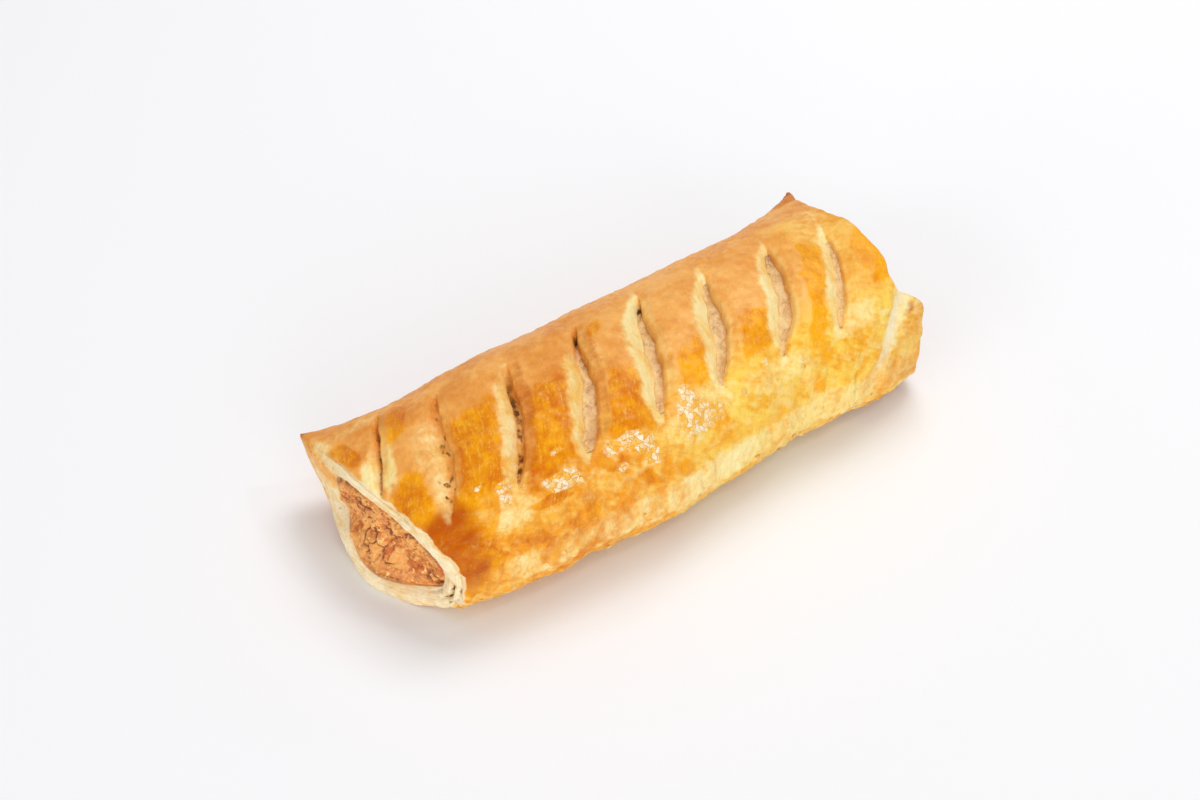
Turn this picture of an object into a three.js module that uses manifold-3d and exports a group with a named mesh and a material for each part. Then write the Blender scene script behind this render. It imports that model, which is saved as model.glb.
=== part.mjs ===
// Beef sausage roll: a puff pastry shell, slashed across its top, round a core of minced beef.
// X runs along the roll from its near end to its far end, Y from its front to its back, Z up.
// Lengths are in millimetres and turns round the roll in degrees: 0 at the back edge, 90 at the
// crown, 180 at the front and 270 underneath. A station is -1 at the near end and 1 at the far end.
import * as THREE from 'three';
import { mergeVertices } from 'three/addons/utils/BufferGeometryUtils.js';
import Module from 'manifold-3d';

// Section of the crust halfway along and at its two ends
const HALF_LENGTH = 70.5;
const CROWN_HEIGHT = { middle: 37.7, near: 25.2, far: 39.3 };
const FRONT_REACH = { middle: 29.3, near: 25.2, far: 27.9 };
const BACK_REACH = { middle: 26.6, near: 35.3, far: 30.0 };
const FRONT_EDGE_HEIGHT = { middle: 15.5, near: 15.5, far: 13.1 };
const BACK_EDGE_HEIGHT = { middle: 17.7, near: 17.0, far: 27.3 };
const FRONT_SQUARENESS = { middle: 2.35, near: 2.35, far: 2.66 };
const BACK_SQUARENESS = { middle: 2.25, near: 1.7, far: 1.42 };
const FRONT_BASE_SQUARENESS = 3.6;
const BACK_BASE_SQUARENESS = { middle: 3.6, near: 2.1, far: 2.4 };
const BASE_FLATTENING = 0.7;
const RELIEF_STARTS_BELOW = 6;
const BODY_TAPER = { near: { start: 0.38, power: 1.78 }, far: { start: 0.19, power: 1.54 } };
const EAR_TAPER = { near: { start: 0.7, power: 1.2 }, far: { start: 0.7, power: 1.27 } };
const FRONT_SWELLINGS = [
  { x: -11.8, spread: 13.7, size: 2.0 },
  { x: 32.8, spread: 11.8, size: -1.8 },
];

// Cut ends: the top sheet is set back, the bottom sheet sticks out as a lip
const END_TAPER = { start: 0.6, power: 1.5 };
const TIP_TAPER = { start: 0.8, power: 1.5 };
const NEAR_CUT = { crown: -3.0, front: 5.0 };
const FAR_CUT = { crown: 0.5, front: -5.1 };
const NEAR_LIP = { reach: 7.0, turn: 273, spread: 61 };
const NEAR_LOBE = { reach: 1.0, turn: 306, spread: 11 };
const NEAR_HOLLOW = { depth: 2.9, turn: 302, spread: 19 };
const FAR_LIP = { reach: 7.3, from: 133, full: 160, fading: 212, to: 271 };
const FAR_NOTCH = { depth: 1.5, turn: 127, spread: 12 };
const FAR_LIP_PINCH = { share: 0.08, from: 142, full: 170, fading: 230, to: 300 };
const FAR_EAR = { reach: 5.5, sharpness: 6, dip: 1.5, dipTurn: 25, dipSpread: 9 };
const LEAN = 0.9;

// Pastry thickness: the cavity is the filling's section
const CAVITY_CROWN_GAP = { middle: 3.8, near: 1.8, far: 5.1 };
const CAVITY_FRONT = { middle: 25.2, near: 18.0, far: 19.6 };
const CAVITY_BACK = { middle: 22.5, near: 19.0, far: 20.5 };
const CAVITY_FRONT_HEIGHT = { middle: 15.5, near: 11.4, far: 12.7 };
const CAVITY_BACK_HEIGHT = { middle: 17.7, near: 13.0, far: 20.0 };
const CAVITY_FLOOR = 3.6;
const CAVITY_SQUARENESS = 2.3;
const CAVITY_BASE_SQUARENESS = 3.2;
const LIP_ROUNDING = 0.8;

// Slashes: where each starts at the back and ends at the front, and how wide its floor is
const SLASHES = [
  { back: { x: -58.4, turn: 49 }, front: { x: -70.0, turn: 89 }, floor: 0.9, bank: 1.5 },
  { back: { x: -47.3, turn: 64 }, front: { x: -60.1, turn: 116 }, floor: 1.4, bank: 2.7 },
  { back: { x: -29.9, turn: 76 }, front: { x: -46.0, turn: 132 }, floor: 1.8, bank: 3.7 },
  { back: { x: -8.9, turn: 73 }, front: { x: -27.4, turn: 135 }, floor: 3.1, bank: 3.7 },
  { back: { x: 9.9, turn: 71 }, front: { x: -6.9, turn: 132 }, floor: 2.4, bank: 4.2 },
  { back: { x: 26.8, turn: 79 }, front: { x: 10.9, turn: 136 }, floor: 2.4, bank: 4.2 },
  { back: { x: 45.6, turn: 81 }, front: { x: 30.4, turn: 139 }, floor: 2.4, bank: 4.2 },
  { back: { x: 59.6, turn: 94 }, front: { x: 46.8, turn: 139 }, floor: 1.6, bank: 3.0 },
];
const SLASH_DEPTH = 4.7;
const SLASH_CLEARANCE = 2.3;
const SLASH_UNDERCUT = 0.5;
const SLASH_LENS = { tipShare: 0.15, fullness: 0.6 };

// Relief of the baked crust
const STRIP_PUFF = { height: 0.8, pitch: 18.7, x: -28.7, turn: 76, skew: -16.9, sweep: 60 };
const STRIP_BAND = { from: 40, full: 75, fading: 138, to: 165 };
const CRUST_WAVES = { count: 9, height: 0.16, longest: 40.0, shortest: 12.7, turns: 3, seed: 11 };
const FLAKES = { height: 0.7, turn: 222, spread: 17 };
const FLAKE_WAVES = { count: 3, longest: 11.8, shortest: 5.9, turns: 2, seed: 29 };

// Filling
const FILLING_GAP = 0.3;
const FILLING_SET_BACK = { near: 0.6, far: 2.0 };
const FILLING_LIP_SHARE = 0.85;
const MINCE = { count: 12, height: 0.3, deepest: 1.2, longest: 15.5, shortest: 5.5, turns: 7, seed: 5 };
const MINCE_FACE = { roughness: 0.28, lengthwise: 1.6, degreesPerMillimetre: 11 };

// Mesh steps
const SLASH_STEPS = 9;
const CRUST_STATIONS = 56;
const CAVITY_STATIONS = 22;
const TURN_STEPS = 44;
const LIP_STEPS = 2;
const FACE_RINGS = 5;

const radians = THREE.MathUtils.degToRad;
const clamp = THREE.MathUtils.clamp;

function ramp(value, taper) {
  return Math.pow(clamp((value - taper.start) / (1 - taper.start), 0, 1), taper.power);
}

// Rises smoothly to 1 and fades again over a band of turns
function band(turn, { from, full, fading, to }) {
  const { smoothstep } = THREE.MathUtils;
  return smoothstep(turn, from, full) * (1 - smoothstep(turn, fading, to));
}

function bell(value, middle, spread) {
  return Math.exp(-(((value - middle) / spread) ** 2));
}

function blend(size, nearShare, farShare) {
  return size.middle + (size.near - size.middle) * nearShare + (size.far - size.middle) * farShare;
}

// A seeded run of numbers between 0 and 1
function seededDraws(seed) {
  let state = seed;
  return () => {
    state = (state * 1664525 + 1013904223) % 4294967296;
    return state / 4294967296;
  };
}

// Waves of random length, direction and phase over the roll's side, added up
function seededWaves({ count, longest, shortest, turns, seed }) {
  const draw = seededDraws(seed);
  return Array.from({ length: count }, () => ({
    perMillimetre: (2 * Math.PI) / (shortest + (longest - shortest) * draw()),
    perTurn: Math.round((2 * draw() - 1) * turns),
    phase: 2 * Math.PI * draw(),
  }));
}

function waveHeight(waves, x, turn) {
  const height = (sum, wave) =>
    sum + Math.sin(wave.perMillimetre * x + wave.perTurn * radians(turn) + wave.phase);
  return waves.reduce(height, 0);
}

const crustWaves = seededWaves(CRUST_WAVES);
const minceWaves = seededWaves(MINCE);
const flakeWaves = seededWaves(FLAKE_WAVES);

// How far the end of the roll is drawn out or set back along X at a turn, with a share of its lips
function endShift(station, turn, lipShare) {
  const across = (1 - Math.cos(radians(turn))) / 2;
  const rise = Math.max(Math.sin(radians(turn)), 0);
  const nearEnd = ramp(-station, END_TAPER);
  const farEnd = ramp(station, END_TAPER);
  const fromLip = clamp((turn - NEAR_LIP.turn) / NEAR_LIP.spread, -1, 1);
  const nearLip = NEAR_LIP.reach * Math.cos((fromLip * Math.PI) / 2) ** 2;
  const nearLobe = NEAR_LOBE.reach * bell(turn, NEAR_LOBE.turn, NEAR_LOBE.spread);
  const farLip = FAR_LIP.reach * band(turn, FAR_LIP);
  const farNotch = FAR_NOTCH.depth * bell(turn, FAR_NOTCH.turn, FAR_NOTCH.spread);
  const near = NEAR_CUT.crown * rise + NEAR_CUT.front * across - lipShare * (nearLip + nearLobe);
  const far = FAR_CUT.crown * rise + FAR_CUT.front * across - farNotch + lipShare * farLip;
  return nearEnd * near + farEnd * far;
}

// Height of the crust's relief: strips puffed up between the slashes, soft waves, and flakes low
// on the front
function crustRelief(x, turn) {
  const line = STRIP_PUFF.x + (STRIP_PUFF.skew * (turn - STRIP_PUFF.turn)) / STRIP_PUFF.sweep;
  const between = Math.sin((Math.PI * (x - line)) / STRIP_PUFF.pitch) ** 2;
  const waves = CRUST_WAVES.height * waveHeight(crustWaves, x, turn);
  const flakes = FLAKES.height * Math.max(waveHeight(flakeWaves, x, turn), 0);
  const low = bell(turn, FLAKES.turn, FLAKES.spread);
  return STRIP_PUFF.height * between * band(turn, STRIP_BAND) + waves + flakes * low;
}

// Smooth outer face of the crust: quarter ellipses of raised power between the back edge, the
// crown, the front edge and the base
function crustPoint(station, turn) {
  const cosine = Math.cos(radians(turn));
  const sine = Math.sin(radians(turn));
  const nearBody = ramp(-station, BODY_TAPER.near);
  const farBody = ramp(station, BODY_TAPER.far);
  const nearEar = ramp(-station, EAR_TAPER.near);
  const farEar = ramp(station, EAR_TAPER.far);
  const farTip = ramp(station, TIP_TAPER);
  const nearTip = ramp(-station, TIP_TAPER);
  const isBack = cosine > 0;
  const stationX = station * HALF_LENGTH;

  const swelling = FRONT_SWELLINGS.reduce(
    (sum, bulge) => sum + bulge.size * bell(stationX, bulge.x, bulge.spread), 0);
  const front = blend(FRONT_REACH, nearBody, farBody) + swelling;
  const reach = isBack ? blend(BACK_REACH, nearEar, farEar) : front;
  const squareness = isBack
    ? blend(BACK_SQUARENESS, nearEar, farEar)
    : blend(FRONT_SQUARENESS, nearBody, farBody);
  const baseSquareness = isBack
    ? blend(BACK_BASE_SQUARENESS, nearEar, farEar)
    : FRONT_BASE_SQUARENESS;

  const crown = blend(CROWN_HEIGHT, nearBody, farBody);
  const frontEdge = blend(FRONT_EDGE_HEIGHT, nearBody, farBody);
  const backEdge = blend(BACK_EDGE_HEIGHT, nearEar, farEar);
  const edge = frontEdge + ((backEdge - frontEdge) * (1 + cosine)) / 2;
  const aboveEdge = (crown - edge) * Math.abs(sine) ** (2 / squareness);
  const belowEdge = edge * Math.abs(sine) ** (2 / baseSquareness);
  const height = sine > 0 ? edge + aboveEdge : edge - belowEdge;

  const earReach = FAR_EAR.reach * Math.max(cosine, 0) ** FAR_EAR.sharpness * farEar;
  const earDip = FAR_EAR.dip * bell(turn, FAR_EAR.dipTurn, FAR_EAR.dipSpread) * farTip;
  const pinch = FAR_LIP_PINCH.share * band(turn, FAR_LIP_PINCH) * farTip;
  const hollow = NEAR_HOLLOW.depth * bell(turn, NEAR_HOLLOW.turn, NEAR_HOLLOW.spread) * nearTip;
  const side = Math.sign(cosine) * reach * Math.abs(cosine) ** (2 / squareness);
  return new THREE.Vector3(
    stationX + endShift(station, turn, 1) + earReach,
    side * (1 - pinch) - hollow - LEAN * station,
    height - earDip,
  );
}

// Direction straight out of the crust, from its slopes along and around
function crustNormal(station, turn) {
  const step = 0.01;
  const inward = clamp(station, -1 + step, 1 - step);
  const along = crustPoint(inward + step, turn).sub(crustPoint(inward - step, turn));
  const around = crustPoint(inward, turn + 1).sub(crustPoint(inward, turn - 1));
  return along.cross(around).negate().normalize();
}

// The crust with its relief, flattened where it lies on the tray
function bakedCrustPoint(station, turn) {
  const point = crustPoint(station, turn);
  const relief = crustRelief(point.x, turn);
  const reliefShare = THREE.MathUtils.smoothstep(point.z, 0, RELIEF_STARTS_BELOW);
  point.addScaledVector(crustNormal(station, turn), relief * reliefShare);
  const weight = clamp(1 - point.z / FRONT_EDGE_HEIGHT.middle, 0, 1);
  point.z = Math.max(point.z - BASE_FLATTENING * weight, 0);
  return point;
}

// Inner face of the pastry, drawn in by a gap for the filling's own surface
function cavityPoint(station, turn, gap, lipShare) {
  const cosine = Math.cos(radians(turn));
  const sine = Math.sin(radians(turn));
  const nearEnd = ramp(-station, END_TAPER);
  const farEnd = ramp(station, END_TAPER);
  const nearBody = ramp(-station, BODY_TAPER.near);
  const farBody = ramp(station, BODY_TAPER.far);
  const crown = blend(CROWN_HEIGHT, nearBody, farBody) - blend(CAVITY_CROWN_GAP, nearEnd, farEnd);
  const reach = blend(cosine > 0 ? CAVITY_BACK : CAVITY_FRONT, nearEnd, farEnd) - gap;
  const frontEdge = blend(CAVITY_FRONT_HEIGHT, nearEnd, farEnd);
  const backEdge = blend(CAVITY_BACK_HEIGHT, nearEnd, farEnd);
  const edge = frontEdge + ((backEdge - frontEdge) * (1 + cosine)) / 2;
  const aboveEdge = (crown - gap - edge) * Math.abs(sine) ** (2 / CAVITY_SQUARENESS);
  const belowEdge = (edge - CAVITY_FLOOR - gap) * Math.abs(sine) ** (2 / CAVITY_BASE_SQUARENESS);
  return new THREE.Vector3(
    station * HALF_LENGTH + endShift(station, turn, lipShare),
    Math.sign(cosine) * reach * Math.abs(cosine) ** (2 / CAVITY_SQUARENESS) - LEAN * station,
    sine > 0 ? edge + aboveEdge : edge - belowEdge,
  );
}

// Stations from one end to the other, closer together towards the ends
function stations(count) {
  return Array.from({ length: count + 1 }, (_, index) => {
    const even = (2 * index) / count - 1;
    return (even + Math.sin((even * Math.PI) / 2)) / 2;
  });
}

function ring(pointAt) {
  return Array.from({ length: TURN_STEPS }, (_, index) => pointAt((360 * index) / TURN_STEPS));
}

// Quads between neighbouring rings; a closed run joins its last ring to its first
function skinRings(rings, isClosedRun) {
  const positions = rings.flat().flatMap((point) => point.toArray());
  const indices = [];
  const gaps = isClosedRun ? rings.length : rings.length - 1;
  for (let gap = 0; gap < gaps; gap += 1) {
    const nextRing = (gap + 1) % rings.length;
    for (let step = 0; step < TURN_STEPS; step += 1) {
      const nextStep = (step + 1) % TURN_STEPS;
      const a = gap * TURN_STEPS + step;
      const b = nextRing * TURN_STEPS + step;
      const c = nextRing * TURN_STEPS + nextStep;
      const d = gap * TURN_STEPS + nextStep;
      indices.push(a, c, b, a, d, c);
    }
  }
  return { positions, indices };
}

function geometryFrom({ positions, indices }) {
  const geometry = new THREE.BufferGeometry();
  geometry.setAttribute('position', new THREE.Float32BufferAttribute(positions, 3));
  geometry.setIndex(indices);
  return geometry;
}

// Rings across a cut face, from the crust's edge to the cavity's edge
function cutFaceRings(station) {
  return Array.from({ length: LIP_STEPS }, (_, index) => {
    const share = (index + 1) / (LIP_STEPS + 1);
    const rounding = station * LIP_ROUNDING * Math.sin(Math.PI * share);
    return ring((turn) => {
      const point = bakedCrustPoint(station, turn).lerp(cavityPoint(station, turn, 0, 1), share);
      point.x += rounding;
      return point;
    });
  });
}

function pastryGeometry() {
  const outside = stations(CRUST_STATIONS).map((station) =>
    ring((turn) => bakedCrustPoint(station, turn)));
  const inside = stations(CAVITY_STATIONS).reverse().map((station) =>
    ring((turn) => cavityPoint(station, turn, 0, 1)));
  const rings = [...outside, ...cutFaceRings(1), ...inside, ...cutFaceRings(-1).reverse()];
  return geometryFrom(skinRings(rings, true));
}

// A lens-shaped wedge along one slash: a sloping bank towards the near end, a narrow floor, and a
// steep, slightly undercut wall towards the far end
function slashGeometry(slash) {
  const sections = [];
  for (let step = 0; step <= SLASH_STEPS; step += 1) {
    const share = step / SLASH_STEPS;
    const x = THREE.MathUtils.lerp(slash.back.x, slash.front.x, share);
    const turn = THREE.MathUtils.lerp(slash.back.turn, slash.front.turn, share);
    const station = x / HALF_LENGTH;
    const middle = crustPoint(station, turn);
    middle.x = x;
    const outward = crustNormal(station, turn);
    const lens = Math.sin(Math.PI * share) ** SLASH_LENS.fullness;
    const opening = SLASH_LENS.tipShare + (1 - SLASH_LENS.tipShare) * lens;
    const floor = (slash.floor * opening) / 2;
    const bank = slash.bank * opening;
    const bankTop = -floor - bank * (1 + SLASH_CLEARANCE / SLASH_DEPTH);
    const corner = (across, height) =>
      middle.clone().addScaledVector(outward, height).add(new THREE.Vector3(across, 0, 0));
    sections.push([
      corner(bankTop, SLASH_CLEARANCE),
      corner(-floor, -SLASH_DEPTH),
      corner(floor + SLASH_UNDERCUT * opening, -SLASH_DEPTH),
      corner(floor, SLASH_CLEARANCE),
    ]);
  }
  const corners = sections[0].length;
  const indices = [];
  for (let step = 0; step < SLASH_STEPS; step += 1) {
    for (let side = 0; side < corners; side += 1) {
      const next = (side + 1) % corners;
      const a = step * corners + side;
      const b = (step + 1) * corners + side;
      const c = (step + 1) * corners + next;
      const d = step * corners + next;
      indices.push(a, c, b, a, d, c);
    }
  }
  const last = SLASH_STEPS * corners;
  indices.push(0, 2, 1, 0, 3, 2);
  indices.push(last, last + 1, last + 2, last, last + 2, last + 3);
  return geometryFrom({ positions: sections.flat().flatMap((point) => point.toArray()), indices });
}

// Rings from a cut face's edge in to its middle, roughened like torn mince
function mincedFaceRings(station, edgeRing) {
  const middle = edgeRing
    .reduce((sum, point) => sum.add(point), new THREE.Vector3())
    .divideScalar(edgeRing.length);
  return Array.from({ length: FACE_RINGS - 1 }, (_, index) => {
    const share = (index + 1) / FACE_RINGS;
    return edgeRing.map((point) => {
      const inner = point.clone().lerp(middle, share);
      const across = MINCE_FACE.degreesPerMillimetre * inner.y;
      const height = waveHeight(minceWaves, MINCE_FACE.lengthwise * inner.z, across);
      inner.x += station * MINCE_FACE.roughness * height * Math.sqrt(share);
      return inner;
    });
  });
}

function fillingGeometry() {
  const minceRing = (station, setBack) =>
    ring((turn) => {
      const relief = MINCE.height * Math.max(waveHeight(minceWaves, station * HALF_LENGTH, turn), 0);
      const gap = FILLING_GAP + Math.min(relief, MINCE.deepest);
      const point = cavityPoint(station, turn, gap, FILLING_LIP_SHARE);
      point.x -= setBack;
      return point;
    });
  const sides = stations(CAVITY_STATIONS).map((station) => {
    const nearSetBack = FILLING_SET_BACK.near * ramp(-station, END_TAPER);
    const farSetBack = FILLING_SET_BACK.far * ramp(station, END_TAPER);
    return minceRing(station, farSetBack - nearSetBack);
  });
  const nearFace = mincedFaceRings(-1, sides[0]).reverse();
  const farFace = mincedFaceRings(1, sides[sides.length - 1]);
  const rings = [...nearFace, ...sides, ...farFace];
  const { positions, indices } = skinRings(rings, false);
  const capWith = (ringIndex, isNear) => {
    const first = ringIndex * TURN_STEPS;
    const centre = positions.length / 3;
    const middle = rings[ringIndex]
      .reduce((sum, point) => sum.add(point), new THREE.Vector3())
      .divideScalar(TURN_STEPS);
    positions.push(...middle.toArray());
    for (let step = 0; step < TURN_STEPS; step += 1) {
      const here = first + step;
      const next = first + ((step + 1) % TURN_STEPS);
      indices.push(...(isNear ? [centre, next, here] : [centre, here, next]));
    }
  };
  capWith(0, true);
  capWith(rings.length - 1, false);
  return geometryFrom({ positions, indices });
}

const wasm = await Module();
wasm.setup();

function solidFrom(geometry) {
  const merged = mergeVertices(geometry, 1e-4);
  return new wasm.Manifold(new wasm.Mesh({
    numProp: 3,
    vertProperties: new Float32Array(merged.attributes.position.array),
    triVerts: new Uint32Array(merged.index.array),
  }));
}

function geometryOf(solid) {
  const mesh = solid.getMesh();
  return geometryFrom({ positions: [...mesh.vertProperties], indices: [...mesh.triVerts] });
}

function slashedPastryGeometry() {
  const cut = (pastry, slash) => pastry.subtract(solidFrom(slashGeometry(slash)));
  return geometryOf(SLASHES.reduce(cut, solidFrom(pastryGeometry())));
}

const pastryMaterial = new THREE.MeshStandardMaterial({ color: 0xdf962f, roughness: 0.45 });
const fillingMaterial = new THREE.MeshStandardMaterial({ color: 0xb8714a, roughness: 0.6 });

const pastry = new THREE.Mesh(slashedPastryGeometry(), pastryMaterial);
pastry.name = 'pastry';
const filling = new THREE.Mesh(fillingGeometry(), fillingMaterial);
filling.name = 'filling';

// The roll stands on its base with the middle of its outline at the origin
const bounds = new THREE.Box3().setFromBufferAttribute(pastry.geometry.attributes.position);
const group = new THREE.Group();
for (const mesh of [pastry, filling]) {
  mesh.position.set(-(bounds.min.x + bounds.max.x) / 2, -(bounds.min.y + bounds.max.y) / 2, 0);
  mesh.geometry.computeVertexNormals();
  group.add(mesh);
}

export default group;
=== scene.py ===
from collections import namedtuple
import bpy
import numpy as np
from mathutils import Matrix, Vector


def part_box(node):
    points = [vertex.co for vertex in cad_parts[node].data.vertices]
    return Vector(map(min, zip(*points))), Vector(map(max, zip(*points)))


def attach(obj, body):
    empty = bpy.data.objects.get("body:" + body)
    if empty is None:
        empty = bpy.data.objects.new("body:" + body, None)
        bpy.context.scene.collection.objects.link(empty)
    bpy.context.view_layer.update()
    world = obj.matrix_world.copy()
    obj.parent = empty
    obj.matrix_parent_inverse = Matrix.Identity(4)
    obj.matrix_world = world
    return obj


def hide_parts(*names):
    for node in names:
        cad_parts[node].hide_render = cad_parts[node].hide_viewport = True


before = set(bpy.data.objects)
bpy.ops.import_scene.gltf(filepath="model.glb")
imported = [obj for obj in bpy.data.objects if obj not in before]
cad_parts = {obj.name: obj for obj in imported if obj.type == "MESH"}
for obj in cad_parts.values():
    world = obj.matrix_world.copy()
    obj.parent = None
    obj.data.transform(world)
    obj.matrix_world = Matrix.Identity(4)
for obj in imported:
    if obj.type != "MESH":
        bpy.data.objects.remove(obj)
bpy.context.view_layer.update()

# Crust
# One sheet of puff pastry, rolled round the mince, pinched into corners at the back and slashed
# across its top before baking. It is egg-washed, so the strips between the slashes bake orange and
# shiny, and the pastry that opened up in the slashes stays pale.

# Lengths here are in millimetres. A station is -1 at the near end and 1 at the far end, and a turn
# is in degrees: 0 back edge, 90 crown, 180 front, 270 base.
MILLIMETRE = 0.001
HALF_LENGTH = 70.5
BASE_FLATTENING = 0.7
FRONT_EDGE_HEIGHT = 15.5
LIP_ROUNDING = 1.2
SLASH_LEAN = -0.58
SEAM_TURN = 256
ROUND_MM_PER_DEGREE = 0.45


def ramp(value, start, power):
    """0 below start, then the share of the way from start to 1, raised to power."""
    return np.clip((value - start) / (1 - start), 0, 1) ** power


def smooth(low, high, value):
    """0 at low, 1 at high, and 3t^2 - 2t^3 in between."""
    share = np.clip((value - low) / (high - low), 0, 1)
    return share * share * (3 - 2 * share)


def bell(value, middle, spread):
    """e to the power of minus the squared distance from middle, in spreads."""
    return np.exp(-(((value - middle) / spread) ** 2))


def band(turn, start, full, fading, end):
    """Rises smoothly from start to full and falls smoothly from fading to end."""
    return smooth(start, full, turn) * (1 - smooth(fading, end, turn))


def strongest(*masks):
    """The largest of several masks at each place."""
    return np.maximum.reduce(np.broadcast_arrays(*masks))


def blend(middle, near, far, near_share, far_share):
    """The middle size, moved towards the near and far sizes by their shares."""
    return middle + (near - middle) * near_share + (far - middle) * far_share


def cell_random(cells, seed):
    """A number from 0 to 1 for each whole-number cell: its coordinates and the seed, scrambled."""
    mixed = np.full(cells.shape[1:], seed * 374761393 + 668265263, dtype=np.uint64)
    for axis, prime in zip(cells, (73856093, 19349663, 83492791)):
        mixed = mixed ^ (axis.astype(np.int64).astype(np.uint64) * np.uint64(prime))
        mixed = (mixed * np.uint64(2246822519)) & np.uint64(0xFFFFFFFF)
        mixed ^= mixed >> np.uint64(15)
    return (mixed & np.uint64(0xFFFFFF)) / float(0xFFFFFF)


def soft_noise(places, size, seed):
    """Random values at the corners of a grid of that size, blended smoothly between the corners
    of each cell. Runs from -1 to 1."""
    scaled = np.stack([np.asarray(place, float) / size for place in places])
    corner = np.floor(scaled)
    share = scaled - corner
    share = share * share * (3 - 2 * share)
    total = 0.0
    for index in range(2 ** len(scaled)):
        step = np.array([(index >> axis) & 1 for axis in range(len(scaled))], float)
        step = step.reshape(-1, *([1] * (scaled.ndim - 1)))
        weight = np.prod(np.where(step > 0, share, 1 - share), axis=0)
        total += weight * cell_random(corner + step, seed)
    return 2 * total - 1


def layered_noise(places, size, seed, layers=3):
    """Soft noise at one size, plus half as much at each halved size."""
    return sum(soft_noise(places, size / 2 ** layer, seed + layer) / 2 ** layer
               for layer in range(layers))


def nearest_cells(places, size, seed):
    """One random point in each cell of a grid: distances to the nearest and second nearest
    point, in cells, and the nearest point's own random number."""
    scaled = np.stack([np.asarray(place, float) / size for place in places])
    corner = np.floor(scaled)
    first = np.full(scaled.shape[1:], 9.0)
    second = first.copy()
    owner = np.zeros_like(first)
    axes = len(scaled)
    for index in range(3 ** axes):
        step = np.array([(index // 3 ** axis) % 3 - 1 for axis in range(axes)], float)
        cell = corner + step.reshape(-1, *([1] * (scaled.ndim - 1)))
        point = np.stack([cell[axis] + cell_random(cell, seed + 17 * axis) for axis in range(axes)])
        gap = np.sqrt(((scaled - point) ** 2).sum(axis=0))
        closer = gap < first
        second = np.where(closer, first, np.minimum(second, gap))
        owner = np.where(closer, cell_random(cell, seed + 101), owner)
        first = np.where(closer, gap, first)
    return first, second, owner


def unrolled(turn):
    """Distance round the roll in millimetres for a turn in degrees, opened under the base."""
    turn = turn % 360
    return ROUND_MM_PER_DEGREE * np.where(turn > SEAM_TURN, turn - 360, turn)


def end_shift(station, turn, lip_share=1.0):
    """How far the ends are drawn out or set back along X: the top sheet's cut slants from back to
    front, and the bottom sheet sticks out as a lip, of which a share is taken."""
    across = (1 - np.cos(np.radians(turn))) / 2
    rise = np.maximum(np.sin(np.radians(turn)), 0)
    near_lip = 7.0 * np.cos(np.clip((turn - 273) / 61, -1, 1) * np.pi / 2) ** 2
    near_lip += bell(turn, 306, 11)
    near = -3.0 * rise + 5.0 * across - lip_share * near_lip
    far = 0.5 * rise - 5.1 * across - 1.5 * bell(turn, 127, 12)
    far += lip_share * 7.3 * band(turn, 133, 160, 212, 271)
    return ramp(-station, 0.6, 1.5) * near + ramp(station, 0.6, 1.5) * far


def smooth_crust(station, turn):
    """Section at each station: four quarter ellipses of raised power between the back edge, the
    crown, the front edge and the base, with their sizes blended from the middle to the ends."""
    cosine, sine = np.cos(np.radians(turn)), np.sin(np.radians(turn))
    near_body, far_body = ramp(-station, 0.38, 1.78), ramp(station, 0.19, 1.54)
    near_ear, far_ear = ramp(-station, 0.7, 1.2), ramp(station, 0.7, 1.27)
    near_tip, far_tip = ramp(-station, 0.8, 1.5), ramp(station, 0.8, 1.5)
    along = station * HALF_LENGTH
    front = blend(29.3, 25.2, 27.9, near_body, far_body)
    front = front + 2.0 * bell(along, -11.8, 13.7) - 1.8 * bell(along, 32.8, 11.8)
    reach = np.where(cosine > 0, blend(26.6, 35.3, 30.0, near_ear, far_ear), front)
    squareness = np.where(cosine > 0, blend(2.25, 1.7, 1.42, near_ear, far_ear),
                          blend(2.35, 2.35, 2.66, near_body, far_body))
    base_squareness = np.where(cosine > 0, blend(3.6, 2.1, 2.4, near_ear, far_ear), 3.6)
    crown = blend(37.7, 25.2, 39.3, near_body, far_body)
    front_edge = blend(FRONT_EDGE_HEIGHT, FRONT_EDGE_HEIGHT, 13.1, near_body, far_body)
    back_edge = blend(17.7, 17.0, 27.3, near_ear, far_ear)
    edge = front_edge + (back_edge - front_edge) * (1 + cosine) / 2
    above = edge + (crown - edge) * np.abs(sine) ** (2 / squareness)
    below = edge - edge * np.abs(sine) ** (2 / base_squareness)
    side = np.sign(cosine) * reach * np.abs(cosine) ** (2 / squareness)
    pinch = 0.08 * band(turn, 142, 170, 230, 300) * far_tip
    hollow = 2.9 * bell(turn, 302, 19) * near_tip
    x = along + end_shift(station, turn) + 5.5 * np.maximum(cosine, 0) ** 6 * far_ear
    y = side * (1 - pinch) - hollow - 0.9 * station
    z = np.where(sine > 0, above, below) - 1.5 * bell(turn, 25, 9) * far_tip
    return np.stack(np.broadcast_arrays(x, y, z))


def crust_outward(station, turn):
    """Unit direction out of the crust: its slope along crossed with its slope around."""
    inner = np.clip(station, -0.99, 0.99)
    along = smooth_crust(inner + 0.01, turn) - smooth_crust(inner - 0.01, turn)
    around = smooth_crust(inner, turn + 1) - smooth_crust(inner, turn - 1)
    outward = np.cross(around, along, axis=0)
    return outward / np.maximum(np.linalg.norm(outward, axis=0), 1e-9)


def station_at(x, turn):
    """The station whose surface lies at that x: x less the ends' shift, worked out in rounds."""
    station = x / HALF_LENGTH
    for _ in range(6):
        station = np.clip((x - end_shift(station, turn)) / HALF_LENGTH, -1, 1)
    return station


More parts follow.
